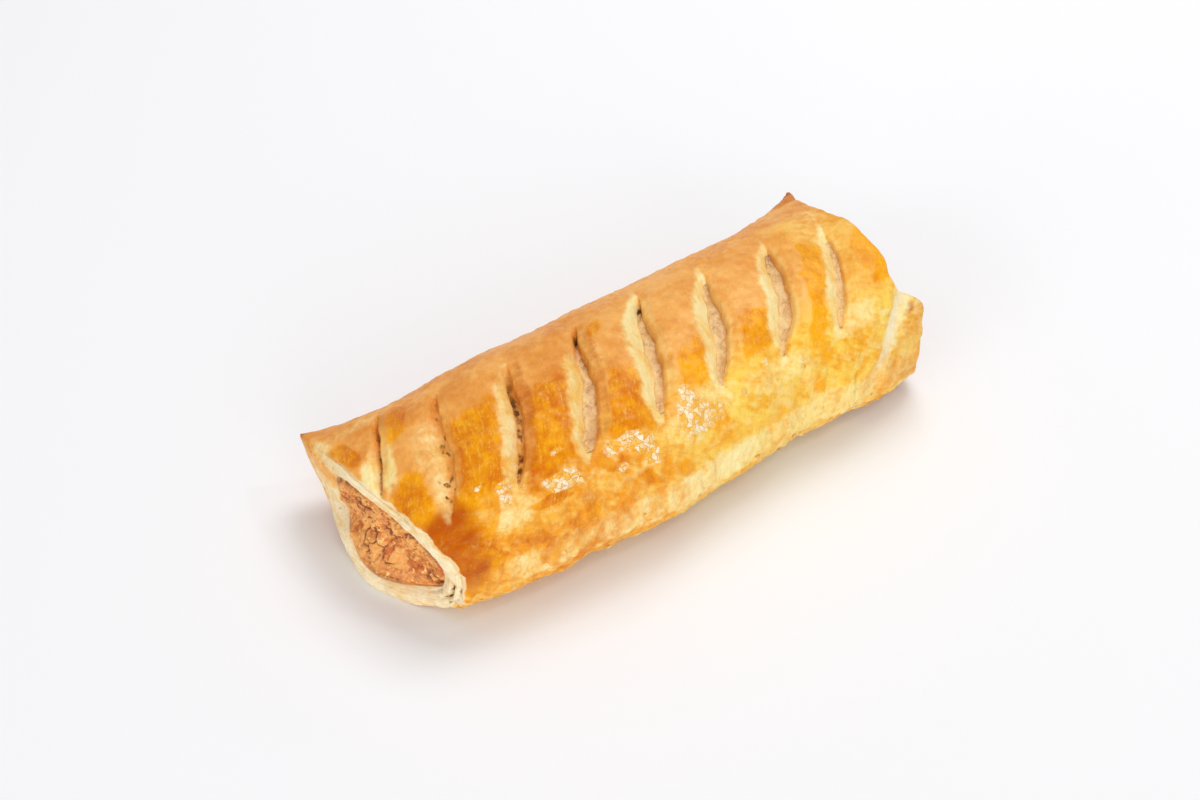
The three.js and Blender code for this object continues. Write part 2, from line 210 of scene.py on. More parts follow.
# Each slash. Its ends are places (x, turn) at the back and the front. Its floor, the bank that slopes
# down to it and the bare wall across from the bank have widths. belly is where it is widest: 1 is
# midway, and more is nearer the front. depth is a share of SLASH_DEPTH, and pale_turn is where its
# bank turns pale. mince and pinkness say how much mince shows in it and how pink that is, hole
# says how much painted shade darkens its back end, and bank_pale and wall_pale say how pale its two
# sides are.
Slash = namedtuple("Slash", "back_x back_turn front_x front_turn floor_width bank_width bare_width "
                            "belly depth pale_turn mince pinkness hole bank_pale wall_pale")
SLASHES = [Slash(*row) for row in (
    (-58.4, 48, -70.4, 91, 0.8, 2.2, 2.6, 1, 0.75, 64, 0, 0, 0.6, 1, 0),
    (-46.2, 60, -62.2, 125, 1.7, 3.2, 2.6, 1, 0.5, 72, 0, 0, 0.7, 0.55, 0),
    (-29.8, 74, -46.9, 134, 2.3, 4.2, 2.6, 1, 0.9, 70, 0, 0, 0.7, 0.75, 0),
    (-8.5, 69, -28.8, 138, 3.9, 4.4, 2.6, 2, 1, 80, 1, 0.9, 1.15, 0.9, 0),
    (10.4, 68, -8.1, 135, 3.3, 5.5, 2.6, 1.4, 1, 56, 1, 0.9, 1.3, 1, 0.35),
    (27.6, 77, 9.6, 139, 3.6, 4.9, 1.4, 1, 0.95, 66, 1, 1, 0.7, 1, 0.45),
    (46.6, 78, 29.2, 143, 3.7, 4.5, 1.4, 1, 0.95, 70, 1, 1, 0.95, 1, 0.45),
    (60.8, 88, 46, 142, 2.1, 3.8, 1.4, 1, 0.75, 72, 0.8, 1, 0.5, 1, 0.45),
)]
SLASH_DEPTH = 3.0
SLASH_SPACING = 18.7
SLASH_RUN_ON = 32
SLASH_RUN_ON_SLOPE = 0.2
WALL_WIDTH = 0.8


def slash_line(slash, turn):
    """x of the slash at a turn: a straight run from back to front, which runs on a little past
    both ends at a gentler slope, then back round the base."""
    middle = (slash.back_x + slash.front_x) / 2
    run_on = SLASH_RUN_ON * SLASH_RUN_ON_SLOPE
    knots = (0, slash.back_turn - SLASH_RUN_ON, slash.back_turn,
             slash.front_turn, slash.front_turn + SLASH_RUN_ON, 360)
    places = (middle, slash.back_x + run_on, slash.back_x, slash.front_x, slash.front_x - run_on, middle)
    return np.interp(turn % 360, knots, places)


def slash_opening(number, turn):
    """The slash's own wavering centre line, half its floor's width, its bank's width and how open
    it is: a half sine from end to end, drawn towards the front, times slow random changes."""
    slash = SLASHES[number]
    share = np.clip((turn - slash.back_turn) / (slash.front_turn - slash.back_turn), 0, 1)
    lens = np.sin(np.pi * share)
    waver = 0.4 * soft_noise((turn,), 11.0, 40 + number) + 0.2 * soft_noise((turn,), 2.8, 60 + number)
    line = slash_line(slash, turn) + waver * lens
    belly = np.sin(np.pi * share ** slash.belly) ** 0.65
    half = slash.floor_width / 2 * belly * (1 + 0.25 * soft_noise((turn,), 6.0, 80 + number))
    grown = smooth(slash.pale_turn, slash.back_turn + 22, turn)
    grown *= 1 - 0.75 * smooth(slash.front_turn - 18, slash.front_turn + 4, turn)
    bank = slash.bank_width * (0.25 + 0.75 * grown) * (1 + 0.1 * soft_noise((turn,), 9.0, 90 + number))
    open_share = slash.depth * np.clip(lens * 2.6, 0, 1) ** 0.6
    return line, half, bank, open_share


def crust_grid():
    """Stations and turns of the crust's grid. Its columns run along the slashes and lie closer
    together at each bank and wall, and its rows lie closer over the top and the front."""
    rows = np.hstack([np.arange(30, 84, 1.8), np.arange(84, 162, 0.95),
                      np.arange(162, 250, 1.7), np.arange(250, 390, 4.0)])
    past_slash = np.hstack([np.arange(0, 4.2, 0.28), np.arange(4.2, 11, 0.62),
                            np.arange(11, SLASH_SPACING, 0.32)]) / SLASH_SPACING
    first = np.hstack([np.arange(0, 2.4, 0.3), np.arange(2.4, 11.8, 0.66)]) / 12
    last = np.hstack([np.arange(0, 4.2, 0.3), np.arange(4.2, 15.8, 0.62), np.arange(15.8, 17.9, 0.35)]) / 18
    slash_count = len(SLASHES)
    columns = np.hstack([first] + [gap + past_slash for gap in range(1, slash_count)]
                        + [slash_count + last, [slash_count + 1]])
    lines = [np.clip(station_at(slash_line(slash, rows), rows), -0.985, 0.97) for slash in SLASHES]
    knots = np.stack([np.full(len(rows), -1.0)] + lines + [np.full(len(rows), 1.0)])
    gap = np.minimum(columns.astype(int), slash_count)
    share = (columns - gap)[:, None]
    stations = knots[gap] * (1 - share) + knots[gap + 1] * share
    return stations, np.broadcast_to(rows, stations.shape)


def slash_relief(x, turn):
    """Depth, sideways lean and masks for all slashes. Across a slash from the near side: a bank
    that slopes down, a floor, a crevice at the wall's foot, a steep wall and a puffed shoulder."""
    depth, lean, bank_mask, floor_mask, wall_mask, crevice_shade_mask = np.zeros((6, *x.shape))
    sheet = (x, unrolled(turn))
    fringe = 0.35 * soft_noise(sheet, 2.4, 111) + 0.2 * soft_noise(sheet, 0.9, 113)
    for number, slash in enumerate(SLASHES):
        line, half, bank, opened = slash_opening(number, turn)
        away = x - line
        bare_floor = 1 - slash.mince
        down = 1 - np.cos(np.pi / 2 * np.clip((away + half + bank) / bank, 0, 1))
        up = 0.7 * (1 - smooth(half, half + WALL_WIDTH, away)) + 0.3 * (1 - smooth(half, half + 3.4, away))
        inside = np.where(away > half, up, down)
        depth = np.maximum(depth, SLASH_DEPTH * opened * inside)
        # Painted shade, with some browned juice, in the crevices: flecks at the bank's foot,
        # the wall's foot, rough bare floors and the back hole
        specks = smooth(0.0, 0.3, soft_noise((turn, x), 2.1, 120 + number) + 0.25 * bare_floor)
        shadowed = smooth(-0.4, 0.2, soft_noise((turn,), 7.0, 130 + number))
        foot = bell(away, half * 0.9 + 0.15, 0.4) * opened * (0.3 + 0.6 * shadowed)
        fleck = bell(away, -half - 0.1, 0.36) * opened * specks
        crevice = np.maximum(foot * (1 - 0.65 * slash.pinkness), fleck * (1 - 0.9 * slash.pinkness))
        crevice *= 1 - 0.5 * bare_floor
        rough = soft_noise((x, 0.45 * turn), 0.9, 140 + number)
        flecked_floor = 0.5 + 0.2 * shadowed + 0.4 * rough * (1 - 0.5 * bell(away, half, 0.6))
        flecked_floor *= 1 - smooth(0.5 * half, half + 0.6, np.abs(away + 0.2))
        flecked_floor *= opened ** 0.4
        crevice = np.maximum(crevice, bare_floor * flecked_floor)
        hole = bell(turn, slash.back_turn + 6, 5.0) * bell(away, 0.1, 1.2) * opened
        crevice = np.maximum(crevice, np.minimum(hole * slash.hole, 1))
        depth += 0.4 * crevice
        depth -= 0.35 * opened * bell(away, half + 4.0, 1.8)
        lean -= 0.5 * bell(away, half + WALL_WIDTH, 0.7) * opened
        # Pale bank, tan floor, mince and bare wall; the wall's tan is partly painted shade
        edge = away + half + bank + fringe
        pale = smooth(-1.2, 0.5 + 0.36 * bank, edge) * (1 - smooth(half - 0.3, half + 0.3, away))
        pale = pale * band(turn, slash.pale_turn - 4, slash.pale_turn + 16,
                           slash.front_turn - 2, slash.front_turn + 8)
        bank_mask = np.maximum(bank_mask, pale * slash.bank_pale)
        tan_floor = 0.9 * bare_floor * opened * (1 - smooth(half - 0.2, half + 0.4, np.abs(away)))
        bank_mask *= 1 - tan_floor
        floor_mask = np.maximum(floor_mask, slash.mince * opened * smooth(-half - 0.6, -half + 0.1, away)
                                * (1 - smooth(half, half + 0.3, away)))
        bare_width = slash.bare_width
        wall = opened * smooth(half - 0.2, half + 0.3, away)
        wall *= 1 - smooth(half + 0.4 * bare_width, half + 1.5 * bare_width, away + fringe)
        wall *= 1 - 0.7 * smooth(slash.front_turn - 14, slash.front_turn - 2, turn + 4 * fringe)
        bank_mask = np.maximum(bank_mask, wall * slash.wall_pale)
        wall_mask = strongest(wall_mask, wall * (1 - slash.wall_pale), tan_floor)
        crevice_shade_mask = np.maximum(crevice_shade_mask, crevice)
    return depth, lean, bank_mask, floor_mask, wall_mask, crevice_shade_mask


# The egg wash between a slash and the next: the slash's number from 0, the turns where the wash
# begins and ends, where it begins and ends as shares of the way across, and its strength
STRIP_WASHES = (
    (1, 87, 131, -0.05, 1.05, 1), (2, 95, 137, -0.05, 1.05, 1), (3, 103, 136, 0.1, 1.1, 1),
    (4, 111, 130, 0.22, 1.08, 1), (5, 109, 129, 0.15, 1.1, 1), (6, 93, 120, 0.3, 1.1, 1),
    (6, 116, 143, 0.35, 0.8, 0.9),
)


def strip_wash(x, turn, ragged):
    """Egg wash on the strips: a band around, cut off by the wall on one side and by the next
    slash's bank on the other, with its edges moved by ragged."""
    total = np.zeros_like(x)
    for number, begins, ends, left_share, right_share, strength in STRIP_WASHES:
        line, half, _, _ = slash_opening(number, turn)
        next_line, next_half, next_bank, _ = slash_opening(number + 1, turn)
        left, right = line + half + 2.0, next_line - next_half - next_bank
        across = (x - left) / (right - left) + 0.16 * ragged
        around = turn + 8 * ragged
        share = smooth(left_share - 0.14, left_share + 0.14, across)
        share *= smooth(right_share + 0.1, right_share - 0.08, across)
        total = np.maximum(total, strength * share * band(around, begins - 8, begins + 5, ends - 9, ends + 8))
    return total


def patches(x, turn, table, raggedness):
    """The strongest of some soft-edged patches: each is an ellipse of raised power round its
    middle (x, turn, half along, half around, lean, strength), its edge moved by raggedness."""
    total = np.zeros_like(x)
    for middle, middle_turn, along, around, lean, strength in table:
        side = (x - middle - lean * (turn - middle_turn)) / along
        height = (turn - middle_turn) / around
        reach = (np.abs(side) ** 3 + np.abs(height) ** 3) ** (1 / 3)
        total = np.maximum(total, strength * smooth(1.45, 0.65, reach + raggedness))
    return total


# More egg wash, where no strip bounds it: x, turn, half along, half around, lean along the
# slashes, strength
EGG_WASH = (
    (-66.8, 108, 4.2, 17, -0.1, 1), (-63.5, 152, 6.4, 28, 0.05, 1), (-60, 124, 5, 8, -0.2, 0.9),
    (-58, 62, 3.4, 10, -0.26, 0.75), (-69.8, 60, 2.2, 9, 0, 0.85), (-54.5, 140, 1.4, 10, -0.2, 0.6),
    (64.6, 106, 3.8, 12, -0.25, 0.75), (65, 118, 3, 8, -0.25, 0.9), (-6, 78, 2.2, 4, -0.2, 0.6),
    (-24.5, 146, 3.4, 7, 0.2, 0.5), (-42, 150, 4.4, 3, 0.5, 0.85), (-39.5, 137, 2.4, 4, 0, 0.7),
    (-48, 168, 3, 6, 0.3, 0.65), (-32.5, 168, 2.2, 8, -0.1, 0.75), (-17, 164, 2.4, 7, 0.3, 0.6),
    (-7, 169, 2, 6, 0.2, 0.55), (36.5, 170, 1.8, 4, 0, 0.8), (40, 150, 1.7, 7, 0, 0.6),
    (9, 168, 6, 5, 0.3, 0.35), (22, 172, 8, 4, 0.3, 0.35),
)
# Where the glaze blistered and flaked: pale bubbles, painted near white as highlights
BLISTERS = (
    (-49.5, 129, 2.4, 3, 0, 0.9), (-51, 137, 1.6, 5, 0, 0.6), (-37, 142, 4.6, 6, 0.3, 1),
    (-35.5, 127, 1.7, 2, 0, 0.8), (-20, 138, 4.6, 4, 0.1, 0.9), (-15.5, 146, 2.2, 8, 0, 0.9),
    (-22.5, 151, 1.3, 3, 0, 1), (-1, 139, 4.4, 11, 0, 0.75), (3.5, 148, 6, 6, 0.2, 0.7),
    (-54.5, 122, 0.8, 1, 0, 0.9), (22.5, 137, 1.4, 2, 0, 0.5), (33, 148, 1, 4, 0, 0.5),
)
# Small holes along the second slash, darkened with painted shade
HOLE_SHADE_SPOTS = (
    (-59, 108, 0.5, 1.4, 0, 0.85), (-52, 88, 0.5, 1.4, 0, 0.8), (-54.2, 94, 0.35, 1.1, 0, 0.75),
    (-58.2, 112, 0.45, 0.9, 0, 0.75), (-60.6, 114, 0.4, 1.3, 0, 0.75), (-59.9, 105, 0.3, 0.8, 0, 0.7),
)
# Walls darkened with painted shade, a browner tan
WALL_SHADES = ((-35.9, 105, 1.7, 24, -0.285, 1.0), (-16.2, 106, 1.1, 22, -0.294, 0.8))
# Pale, thinly glazed pastry
PALE_PATCHES = (
    (-50.5, 145, 4.6, 9, 0, 0.6), (-57.5, 92, 3.4, 13, -0.24, 0.35), (2, 141, 9, 12, 0, 0.5),
    (26, 148, 9, 9, 0.3, 0.45), (51, 138, 5, 8, -0.2, 0.6),
    (-15, 184, 34, 9, 0, 0.75), (30, 184, 30, 8, 0, 0.5), (-65.8, 84, 1.8, 11, -0.22, 1),
    (-71.5, 48, 1.6, 14, 0.05, 0.6), (-64, 44, 5, 5, 0, 0.35),
    (-70.3, 82, 1.5, 10, -0.2, 1), (60, 75, 4, 14, -0.2, 0.25),
    (-12, 94, 2, 5, -0.2, 0.3), (-43.5, 133, 2.6, 4, 0, 0.6), (-58, 162, 2, 8, 0, 0.35),
)


def crust_relief(x, turn, places):
    """Height of the baked surface: strips puffed up between the slashes, soft swellings, small
    bubbles, blisters in their patches, layered ledges low on the front, folds at the pinched
    corners, and a step down where the top sheet ends and the bottom sheet goes on."""
    # The third slash's own line, which the strips run parallel to
    line = -28.7 - 16.9 * (turn - 76) / 60
    between = np.sin(np.pi * (x - line) / SLASH_SPACING) ** 2
    height = 0.8 * between * band(turn, 40, 75, 138, 165)
    height = height + 0.4 * soft_noise(places, 15.0, 11) + 0.2 * layered_noise(places, 5.0, 13)
    height += 0.09 * layered_noise(places, 1.5, 15, 2)
    sheet = (x, unrolled(turn))
    puffs = np.abs(soft_noise(sheet, 3.4, 17)) + 0.5 * np.abs(soft_noise(sheet, 1.7, 19))
    height += (0.22 + 0.3 * band(turn, 118, 140, 215, 240)) * (puffs - 0.5)
    first, _, owner = nearest_cells(sheet, 3.4, 5)
    height += 0.3 * smooth(0.55, 0.1, first) * np.clip(owner * 2 - 0.9, 0, 1)
    ragged = 0.55 * soft_noise(sheet, 3.6, 23) + 0.25 * soft_noise(sheet, 1.5, 24)
    blister = patches(x, turn, BLISTERS, 0.8 * ragged)
    bent = [place + 0.7 * soft_noise(sheet, 1.6, seed) for place, seed in zip(sheet, (25, 26))]
    first, second, owner = nearest_cells(bent, 1.5, 31)
    skin = smooth(0.03, 0.4, second - first)
    height += 0.2 * blister * skin * (0.3 + 0.7 * owner)
    stretched = (x, turn * 0.2)
    ledge_turn = turn + 7 * soft_noise(stretched, 12.0, 41) + 2.5 * soft_noise(stretched, 4.0, 43)
    ledge = (ledge_turn / 8.5) % 1.0
    low = band(turn, 186, 206, 232, 246)
    height += 0.55 * low * (smooth(0, 0.8, ledge) - smooth(0.85, 1.0, ledge))
    corner = smooth(50, 68, np.abs(x)) * bell((turn + 180) % 360, 180, 34)
    height += 0.3 * corner * np.sin(turn * 0.55 + 0.8 * soft_noise((x,), 4.0, 47))
    neck = 66 - 0.27 * (turn - 128) + 0.8 * soft_noise((turn,), 14.0, 49)
    past_neck = smooth(-1.8, 2.6, x - neck) * band(turn, 120, 140, 190, 225)
    height -= 1.2 * past_neck * (1 - 0.6 * smooth(3.0, 9.0, x - neck))
    return height, blister, low * smooth(0.35, 0.9, ledge), past_neck, neck


def settle_on_base(z):
    """The underside pressed flat on the tray: low heights drop a little, but never below 0."""
    return np.maximum(z - BASE_FLATTENING * np.clip(1 - z / FRONT_EDGE_HEIGHT, 0, 1), 0)


def cavity(station, turn, gap, lip_share=1.0):
    """Inner face of the pastry: quarter ellipses of raised power like the crust's, a wall's
    thickness in, and a further gap in for what fills it. The near mouth's rim is thicker low at
    its back."""
    cosine, sine = np.cos(np.radians(turn)), np.sin(np.radians(turn))
    near, far = ramp(-station, 0.6, 1.5), ramp(station, 0.6, 1.5)
    crown = blend(37.7, 25.2, 39.3, ramp(-station, 0.38, 1.78), ramp(station, 0.19, 1.54))
    crown -= blend(3.8, 1.8, 5.1, near, far)
    reach = np.where(cosine > 0, blend(22.5, 19.0, 20.5, near, far),
                     blend(25.2, 17.2, 19.6, near, far)) - gap
    front_edge, back_edge = blend(15.5, 11.4, 12.7, near, far), blend(17.7, 13.0, 20.0, near, far)
    edge = front_edge + (back_edge - front_edge) * (1 + cosine) / 2
    above = edge + (crown - gap - edge) * np.abs(sine) ** (2 / 2.3)
    low_squareness = 3.2 - 1.3 * near * (cosine > 0)
    below = edge - (edge - 3.6 - 1.5 * near * cosine - gap) * np.abs(sine) ** (2 / low_squareness)
    x = station * HALF_LENGTH + end_shift(station, turn, lip_share)
    y = np.sign(cosine) * reach * np.abs(cosine) ** (2 / 2.3) - 0.9 * station
    thicker = near * bell(turn, 303, 27)
    z = np.where(sine > 0, above, below) + 1.9 * thicker
    return np.stack(np.broadcast_arrays(x, y - 1.8 * thicker, z))


def skin_faces(rings, steps, closed_run):
    """Quads between neighbouring rings of points, and from the last ring to the first if the run
    is closed."""
    last = rings if closed_run else rings - 1
    ring, step = np.meshgrid(np.arange(last), np.arange(steps), indexing="ij")
    after, beside = (ring + 1) % rings, (step + 1) % steps
    quads = [ring * steps + step, ring * steps + beside, after * steps + beside, after * steps + step]
    return np.stack(quads, axis=-1).reshape(-1, 4)


def new_object(name, data):
    """An object in the scene for a mesh, a lamp or a camera."""
    thing = bpy.data.objects.new(name, data)
    bpy.context.scene.collection.objects.link(thing)
    return thing


def make_piece(name, points, faces, masks):
    """A mesh object at the origin from points in metres, its faces and its masks by name."""
    mesh = bpy.data.meshes.new(name)
    mesh.from_pydata(points.tolist(), [], faces)
    for mask_name, values in masks.items():
        mask = mesh.attributes.new(mask_name, "FLOAT", "POINT")
        mask.data.foreach_set("value", np.ascontiguousarray(values, np.float32).ravel())
    mesh.shade_smooth()
    mesh.update()
    return new_object(name, mesh)


CUT_EDGE_RADIUS = 1.8
CUT_EDGE_DROP = 0.9
stations, turns = crust_grid()
plain_crust = smooth_crust(stations, turns)
outward = crust_outward(stations, turns)
x, round_mm = plain_crust[0], unrolled(turns)
depth, lean, bank_mask, floor_mask, wall_mask, crevice_shade_mask = slash_relief(x, turns)
height, blister_patch, ledge_mask, past_neck, neck = crust_relief(x, turns, plain_crust)
across_bank = x - SLASH_LEAN * round_mm
strands = 0.5 * soft_noise((across_bank, turns), 1.0, 51)
strands += soft_noise((across_bank / 0.5, turns / 9), 1.0, 52)
height += strands * (0.03 * bank_mask + 0.06 * wall_mask)
back_turns = (turns + 180) % 360
ear = bell(back_turns, 180, 14)
from_cut = (1 - np.abs(stations)) * HALF_LENGTH
rolled_in = 1 - np.sqrt(1 - (1 - np.clip(from_cut / CUT_EDGE_RADIUS, 0, 1)) ** 2)
height -= CUT_EDGE_DROP * rolled_in * (1 - 0.85 * ear)
on_side = smooth(0, 6, plain_crust[2])
in_slash = np.clip(depth / SLASH_DEPTH, 0, 1)
outer_crust = plain_crust + outward * ((height * (1 - 0.7 * in_slash) - depth) * on_side)
outer_crust[0] += lean + 0.35 * np.sign(stations) * smooth(8, 0, from_cut) * soft_noise((turns,), 9.0, 53)
outer_crust[2] = settle_on_base(outer_crust[2])

# The cut faces at the two ends show the pastry's thin layers as ridges and a torn, rounded edge
LIP_RINGS = 20
CAVITY_RINGS = 14
ring_turns, ring_back = turns[0], back_turns[0]
share = (np.arange(1, LIP_RINGS + 1) / (LIP_RINGS + 1))[:, None]
cut_faces, gap_shades, layer_tones = {}, {}, {}
for end in (-1.0, 1.0):
    edge_ring = outer_crust[:, 0 if end < 0 else -1]
    inner_ring = cavity(end, ring_turns, 0)
    face = edge_ring[:, None] * (1 - share) + inner_ring[:, None] * share
    wide = np.linalg.norm(edge_ring - inner_ring, axis=0)
    bend = soft_noise((face[1], face[2]), 5.0, 71)
    layers = np.sin(2 * np.pi * (share * wide / 0.9 + 0.7 * bend))
    torn = layered_noise((face[1], face[2], 3 * face[0]), 2.4, 73)
    swell = np.sin(np.pi * share)
    split = smooth(0.0, 0.5, 0.45 + soft_noise((ring_turns,), 6.0, 75))
    split = split * bell(share, 0.42 + 0.14 * bend, 0.07)
    for inward, strength, start, long_turns, seed in ((0.74, 0.8, -0.1, 5.0, 77), (0.18, 0.9, -0.2, 4.0, 79)):
        chance = smooth(start, start + 0.5, soft_noise((ring_turns,), long_turns, seed))
        split = split + strength * bell(share, inward + 0.1 * bend, 0.05) * chance
    if end < 0:
        split = split * band(ring_turns, 168, 180, 212, 232)
    else:
        split = split * (0.35 * band(ring_turns, 60, 80, 150, 170))
    fold = bell(share, 0.5 + 0.1 * bend, 0.12) * 0.5 * bell(ring_back, 180, 30)
    coarse = 0.12 + 0.3 * band(ring_turns, 160, 180, 235, 260) + 0.12 * band(ring_turns, 235, 260, 320, 345)
    rough = LIP_ROUNDING * swell + (0.1 * layers + coarse * torn) * swell
    face[0] += end * (rough - 1.6 * split - 0.8 * fold)
    cut_faces[end] = face
    # Cracks, pits and the gaps between the layers are darkened with painted shade
    pits = smooth(0.25, 0.6, soft_noise((face[1], face[2]), 0.9, 83)) * bell(share, 0.75, 0.16)
    pits *= band(ring_back, 120, 150, 215, 250)
    gap_shades[end] = strongest(split, 0.7 * pits, 0.55 * smooth(0.35, 1.0, layers * (0.3 + torn)))
    layer_tones[end] = np.clip(0.6 + 0.22 * layers * (0.4 + np.abs(bend)) + 0.35 * torn, 0, 1)

inner_face = cavity(np.linspace(1, -1, CAVITY_RINGS)[:, None], ring_turns, 0)
crust_points = np.hstack([outer_crust, cut_faces[1.0], inner_face, cut_faces[-1.0][:, ::-1]])

raw_low = crust_points.reshape(3, -1).min(axis=1)
raw_high = crust_points.reshape(3, -1).max(axis=1)
box_low, box_high = (np.array(corner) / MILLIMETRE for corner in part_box("pastry"))
centring = (box_low + box_high) / 2 - (raw_low + raw_high) / 2
centring[2] = 0.0


def placed(points):
    """Points in millimetres round the roll's own middle, as rows in metres in the frame."""
    return (points.reshape(3, -1).T + centring) * MILLIMETRE


# Masks for the finish: where the crust is washed, toasted or darkened with painted shade, bare, torn and so
# on
shown = np.ones((LIP_RINGS, len(ring_turns)))
hidden = np.zeros((CAVITY_RINGS, len(ring_turns)))
inward_fade = np.linspace(1, 0, LIP_RINGS)[:, None]
sheet = (x, round_mm)
wide_patch = layered_noise(sheet, 8.0, 91)
fine_patch = layered_noise(sheet, 2.4, 93)
brushed = soft_noise((across_bank / 0.7, round_mm / 2.2), 1.0, 95)
ragged = 0.16 * wide_patch + 0.16 * fine_patch + 0.1 * brushed
crevice_shade_mask = np.maximum(crevice_shade_mask, patches(x, turns, HOLE_SHADE_SPOTS, 2 * ragged))
front = smooth(98, 150, turns + 10 * wide_patch) * (1 - smooth(250, 290, turns))
yellow = smooth(-22, 12, x) * smooth(112, 142, turns) * (1 - smooth(250, 290, turns))
yellow = np.maximum(yellow, 0.45 * smooth(44, 58, x) * band(turns, 52, 72, 98, 150))
yellow *= 1 - 0.6 * past_neck
tone = 0.42 + 0.2 * layered_noise(sheet, 1.7, 99) + 0.28 * layered_noise(sheet, 6.0, 103)
tone = np.clip(tone + 0.2 * smooth(-25, 8, x), 0, 1)
mottled = smooth(0.1, 0.75, 0.25 + 0.6 * wide_patch + 0.5 * fine_patch)
wash = strongest(patches(x, turns, EGG_WASH, ragged), strip_wash(x, turns, 2.2 * ragged),
                 band(turns, 148, 160, 200, 225) * mottled * (0.58 - 0.3 * smooth(-40, 5, x)))
wash = wash * (1 - bank_mask) * (1 - 0.75 * wall_mask) * (1 - 0.4 * blister_patch) * (1 - past_neck)
wall_shade = patches(x, turns, WALL_SHADES, 1.5 * ragged)
wall_mask *= 1 - 0.7 * wall_shade
past = x - neck
# Toasted corners, ear tips and tongue, with painted shade on the shaded slash walls and under the far
# tongue's low side
toast_and_shade = strongest(
    smooth(-54, -63, x) * band(turns, 112, 130, 172, 190) * (0.8 + 0.4 * wide_patch),
    0.55 * wall_shade,
    0.85 * ear * smooth(-64, -70.5, x),
    0.72 * bell(back_turns, 192, 44) * smooth(62, 71, x),
    0.24 * smooth(5, 9, past) * band(turns, 130, 144, 190, 200),
    0.65 * smooth(3, 9, past) * band(turns, 192, 208, 250, 270),
    0.9 * bell(x, 67.2, 1.6) * bell(turns, 150, 5))
near_rim = smooth(0.8, 0.0, from_cut + 0.35 * fine_patch) * (stations < 0) * band(turns, 50, 80, 230, 250)
thin_glaze = 0.5 * smooth(-0.1, 0.9, fine_patch + 0.5 * wide_patch) * band(turns, 128, 146, 240, 262)
bare = strongest(
    bank_mask, near_rim, 0.75 * ledge_mask,
    patches(x, turns, PALE_PATCHES, ragged) * (1 - wash),
    past_neck * smooth(9.5, 4.0, past + 2 * fine_patch) * (1 - 0.5 * smooth(160, 182, turns)),
    thin_glaze * (1 - 0.6 * smooth(-54, -60, x)) * (1 - wash))
# Where fine wrinkles are drawn as thin lines of painted shade in their creases
wrinkled = strongest(bell(x, -50, 5) * bell(turns, 70, 16) + bell(x, -66, 4) * bell(turns, 60, 22),
                     0.7 * band(turns, 118, 132, 172, 196) * smooth(-12, -36, x),
                     0.3 * smooth(10, -30, x))
step_foot = past_neck * smooth(6.5, 3.0, past + 1.5 * fine_patch) * band(turns, 120, 132, 168, 186)
paler_edge = 0.3 * band(turns, 180, 196, 225, 240) * smooth(5, 30, x) * (1 - past_neck)
rim_glaze = 0.4 * band(ring_turns, 60, 80, 150, 166) * smooth(0.85, 1.0, inward_fade)
ear_under = 0.8 * band(ring_back, 110, 150, 182, 196) * smooth(0.45, 0.75, inward_fade)
far_rim = 0.75 * band(ring_turns, 140, 155, 235, 262) * inward_fade ** 0.5
ear_rim = 0.8 * bell(ring_back, 184, 40) * inward_fade ** 0.5
near_ear = strongest(ear_under, 0.95 * bell(ring_back, 198, 40))


def ring_masks(outer, far_cut=0.0, cavity_value=0.0, near_cut=0.0):
    """One mask over the whole crust, ring by ring in the order of its points: the outside, the far
    cut face, the cavity and the near cut face."""
    return np.vstack([outer, shown * far_cut, hidden + cavity_value, (shown * near_cut)[::-1]])


crust_masks = {
    "bare": ring_masks(bare, 1 - far_rim, 1.0, 1 - np.maximum(near_ear, 0.7 * rim_glaze)),
    "wash": ring_masks(wash, near_cut=0.7 * rim_glaze),
    "yellow": ring_masks(yellow),
    "tone": ring_masks(tone, layer_tones[1.0], 0.5, layer_tones[-1.0]),
    "crumb": ring_masks(strongest(near_rim, paler_edge, 0.8 * step_foot), 1 - far_rim, 0.5,
                        1 - np.maximum(near_ear, rim_glaze)),
    "toast_and_shade": ring_masks(toast_and_shade, np.maximum(far_rim, ear_rim),
                        near_cut=np.maximum(0.5 * ear_rim, 0.35 * ear_under)),
    "blister": ring_masks(blister_patch),
    "wrinkle_shade": ring_masks(np.clip(wrinkled, 0, 1) * (1 - bank_mask)),
    "meaty": ring_masks(floor_mask, cavity_value=0.9),
    "wall": ring_masks(wall_mask),
    # painted shade: the slashes' crevices and holes and the cut faces' cracks and gaps
    "dark": ring_masks(crevice_shade_mask, gap_shades[1.0], 0.0, gap_shades[-1.0]),
    "front": ring_masks(front, 0.5, 0.5, 0.5),
}
cut_grain = np.stack(np.broadcast_arrays(share * 4 + 90, unrolled(ring_turns)))
cavity_grain = np.stack([hidden, hidden])
flow = np.hstack([np.stack([x, round_mm]), cut_grain, cavity_grain, cut_grain[:, ::-1]])
ring_count, step_count = crust_points.shape[1:]
crust = make_piece("crust", placed(crust_points), skin_faces(ring_count, step_count, True).tolist(),
                   crust_masks)
flow_places = np.vstack([flow.reshape(2, -1), np.zeros((1, flow[0].size))]).T
crust_flow = crust.data.attributes.new("flow", "FLOAT_VECTOR", "POINT")
crust_flow.data.foreach_set("vector", np.ascontiguousarray(flow_places, np.float32).ravel())


def new_finish(piece, name):
    """A new material on the piece: its tree of nodes and its shader."""
    finish = bpy.data.materials.new(name)
    finish.use_nodes = True
    piece.data.materials.append(finish)
    return finish.node_tree, finish.node_tree.nodes["Principled BSDF"]


def from_srgb(red, green, blue):
    """A colour of 0 to 255 parts as the linear colour that a shader takes."""
    parts = np.array([red, green, blue]) / 255
    linear = np.where(parts <= 0.04045, parts / 12.92, ((parts + 0.055) / 1.055) ** 2.4)
    return (*linear.tolist(), 1.0)


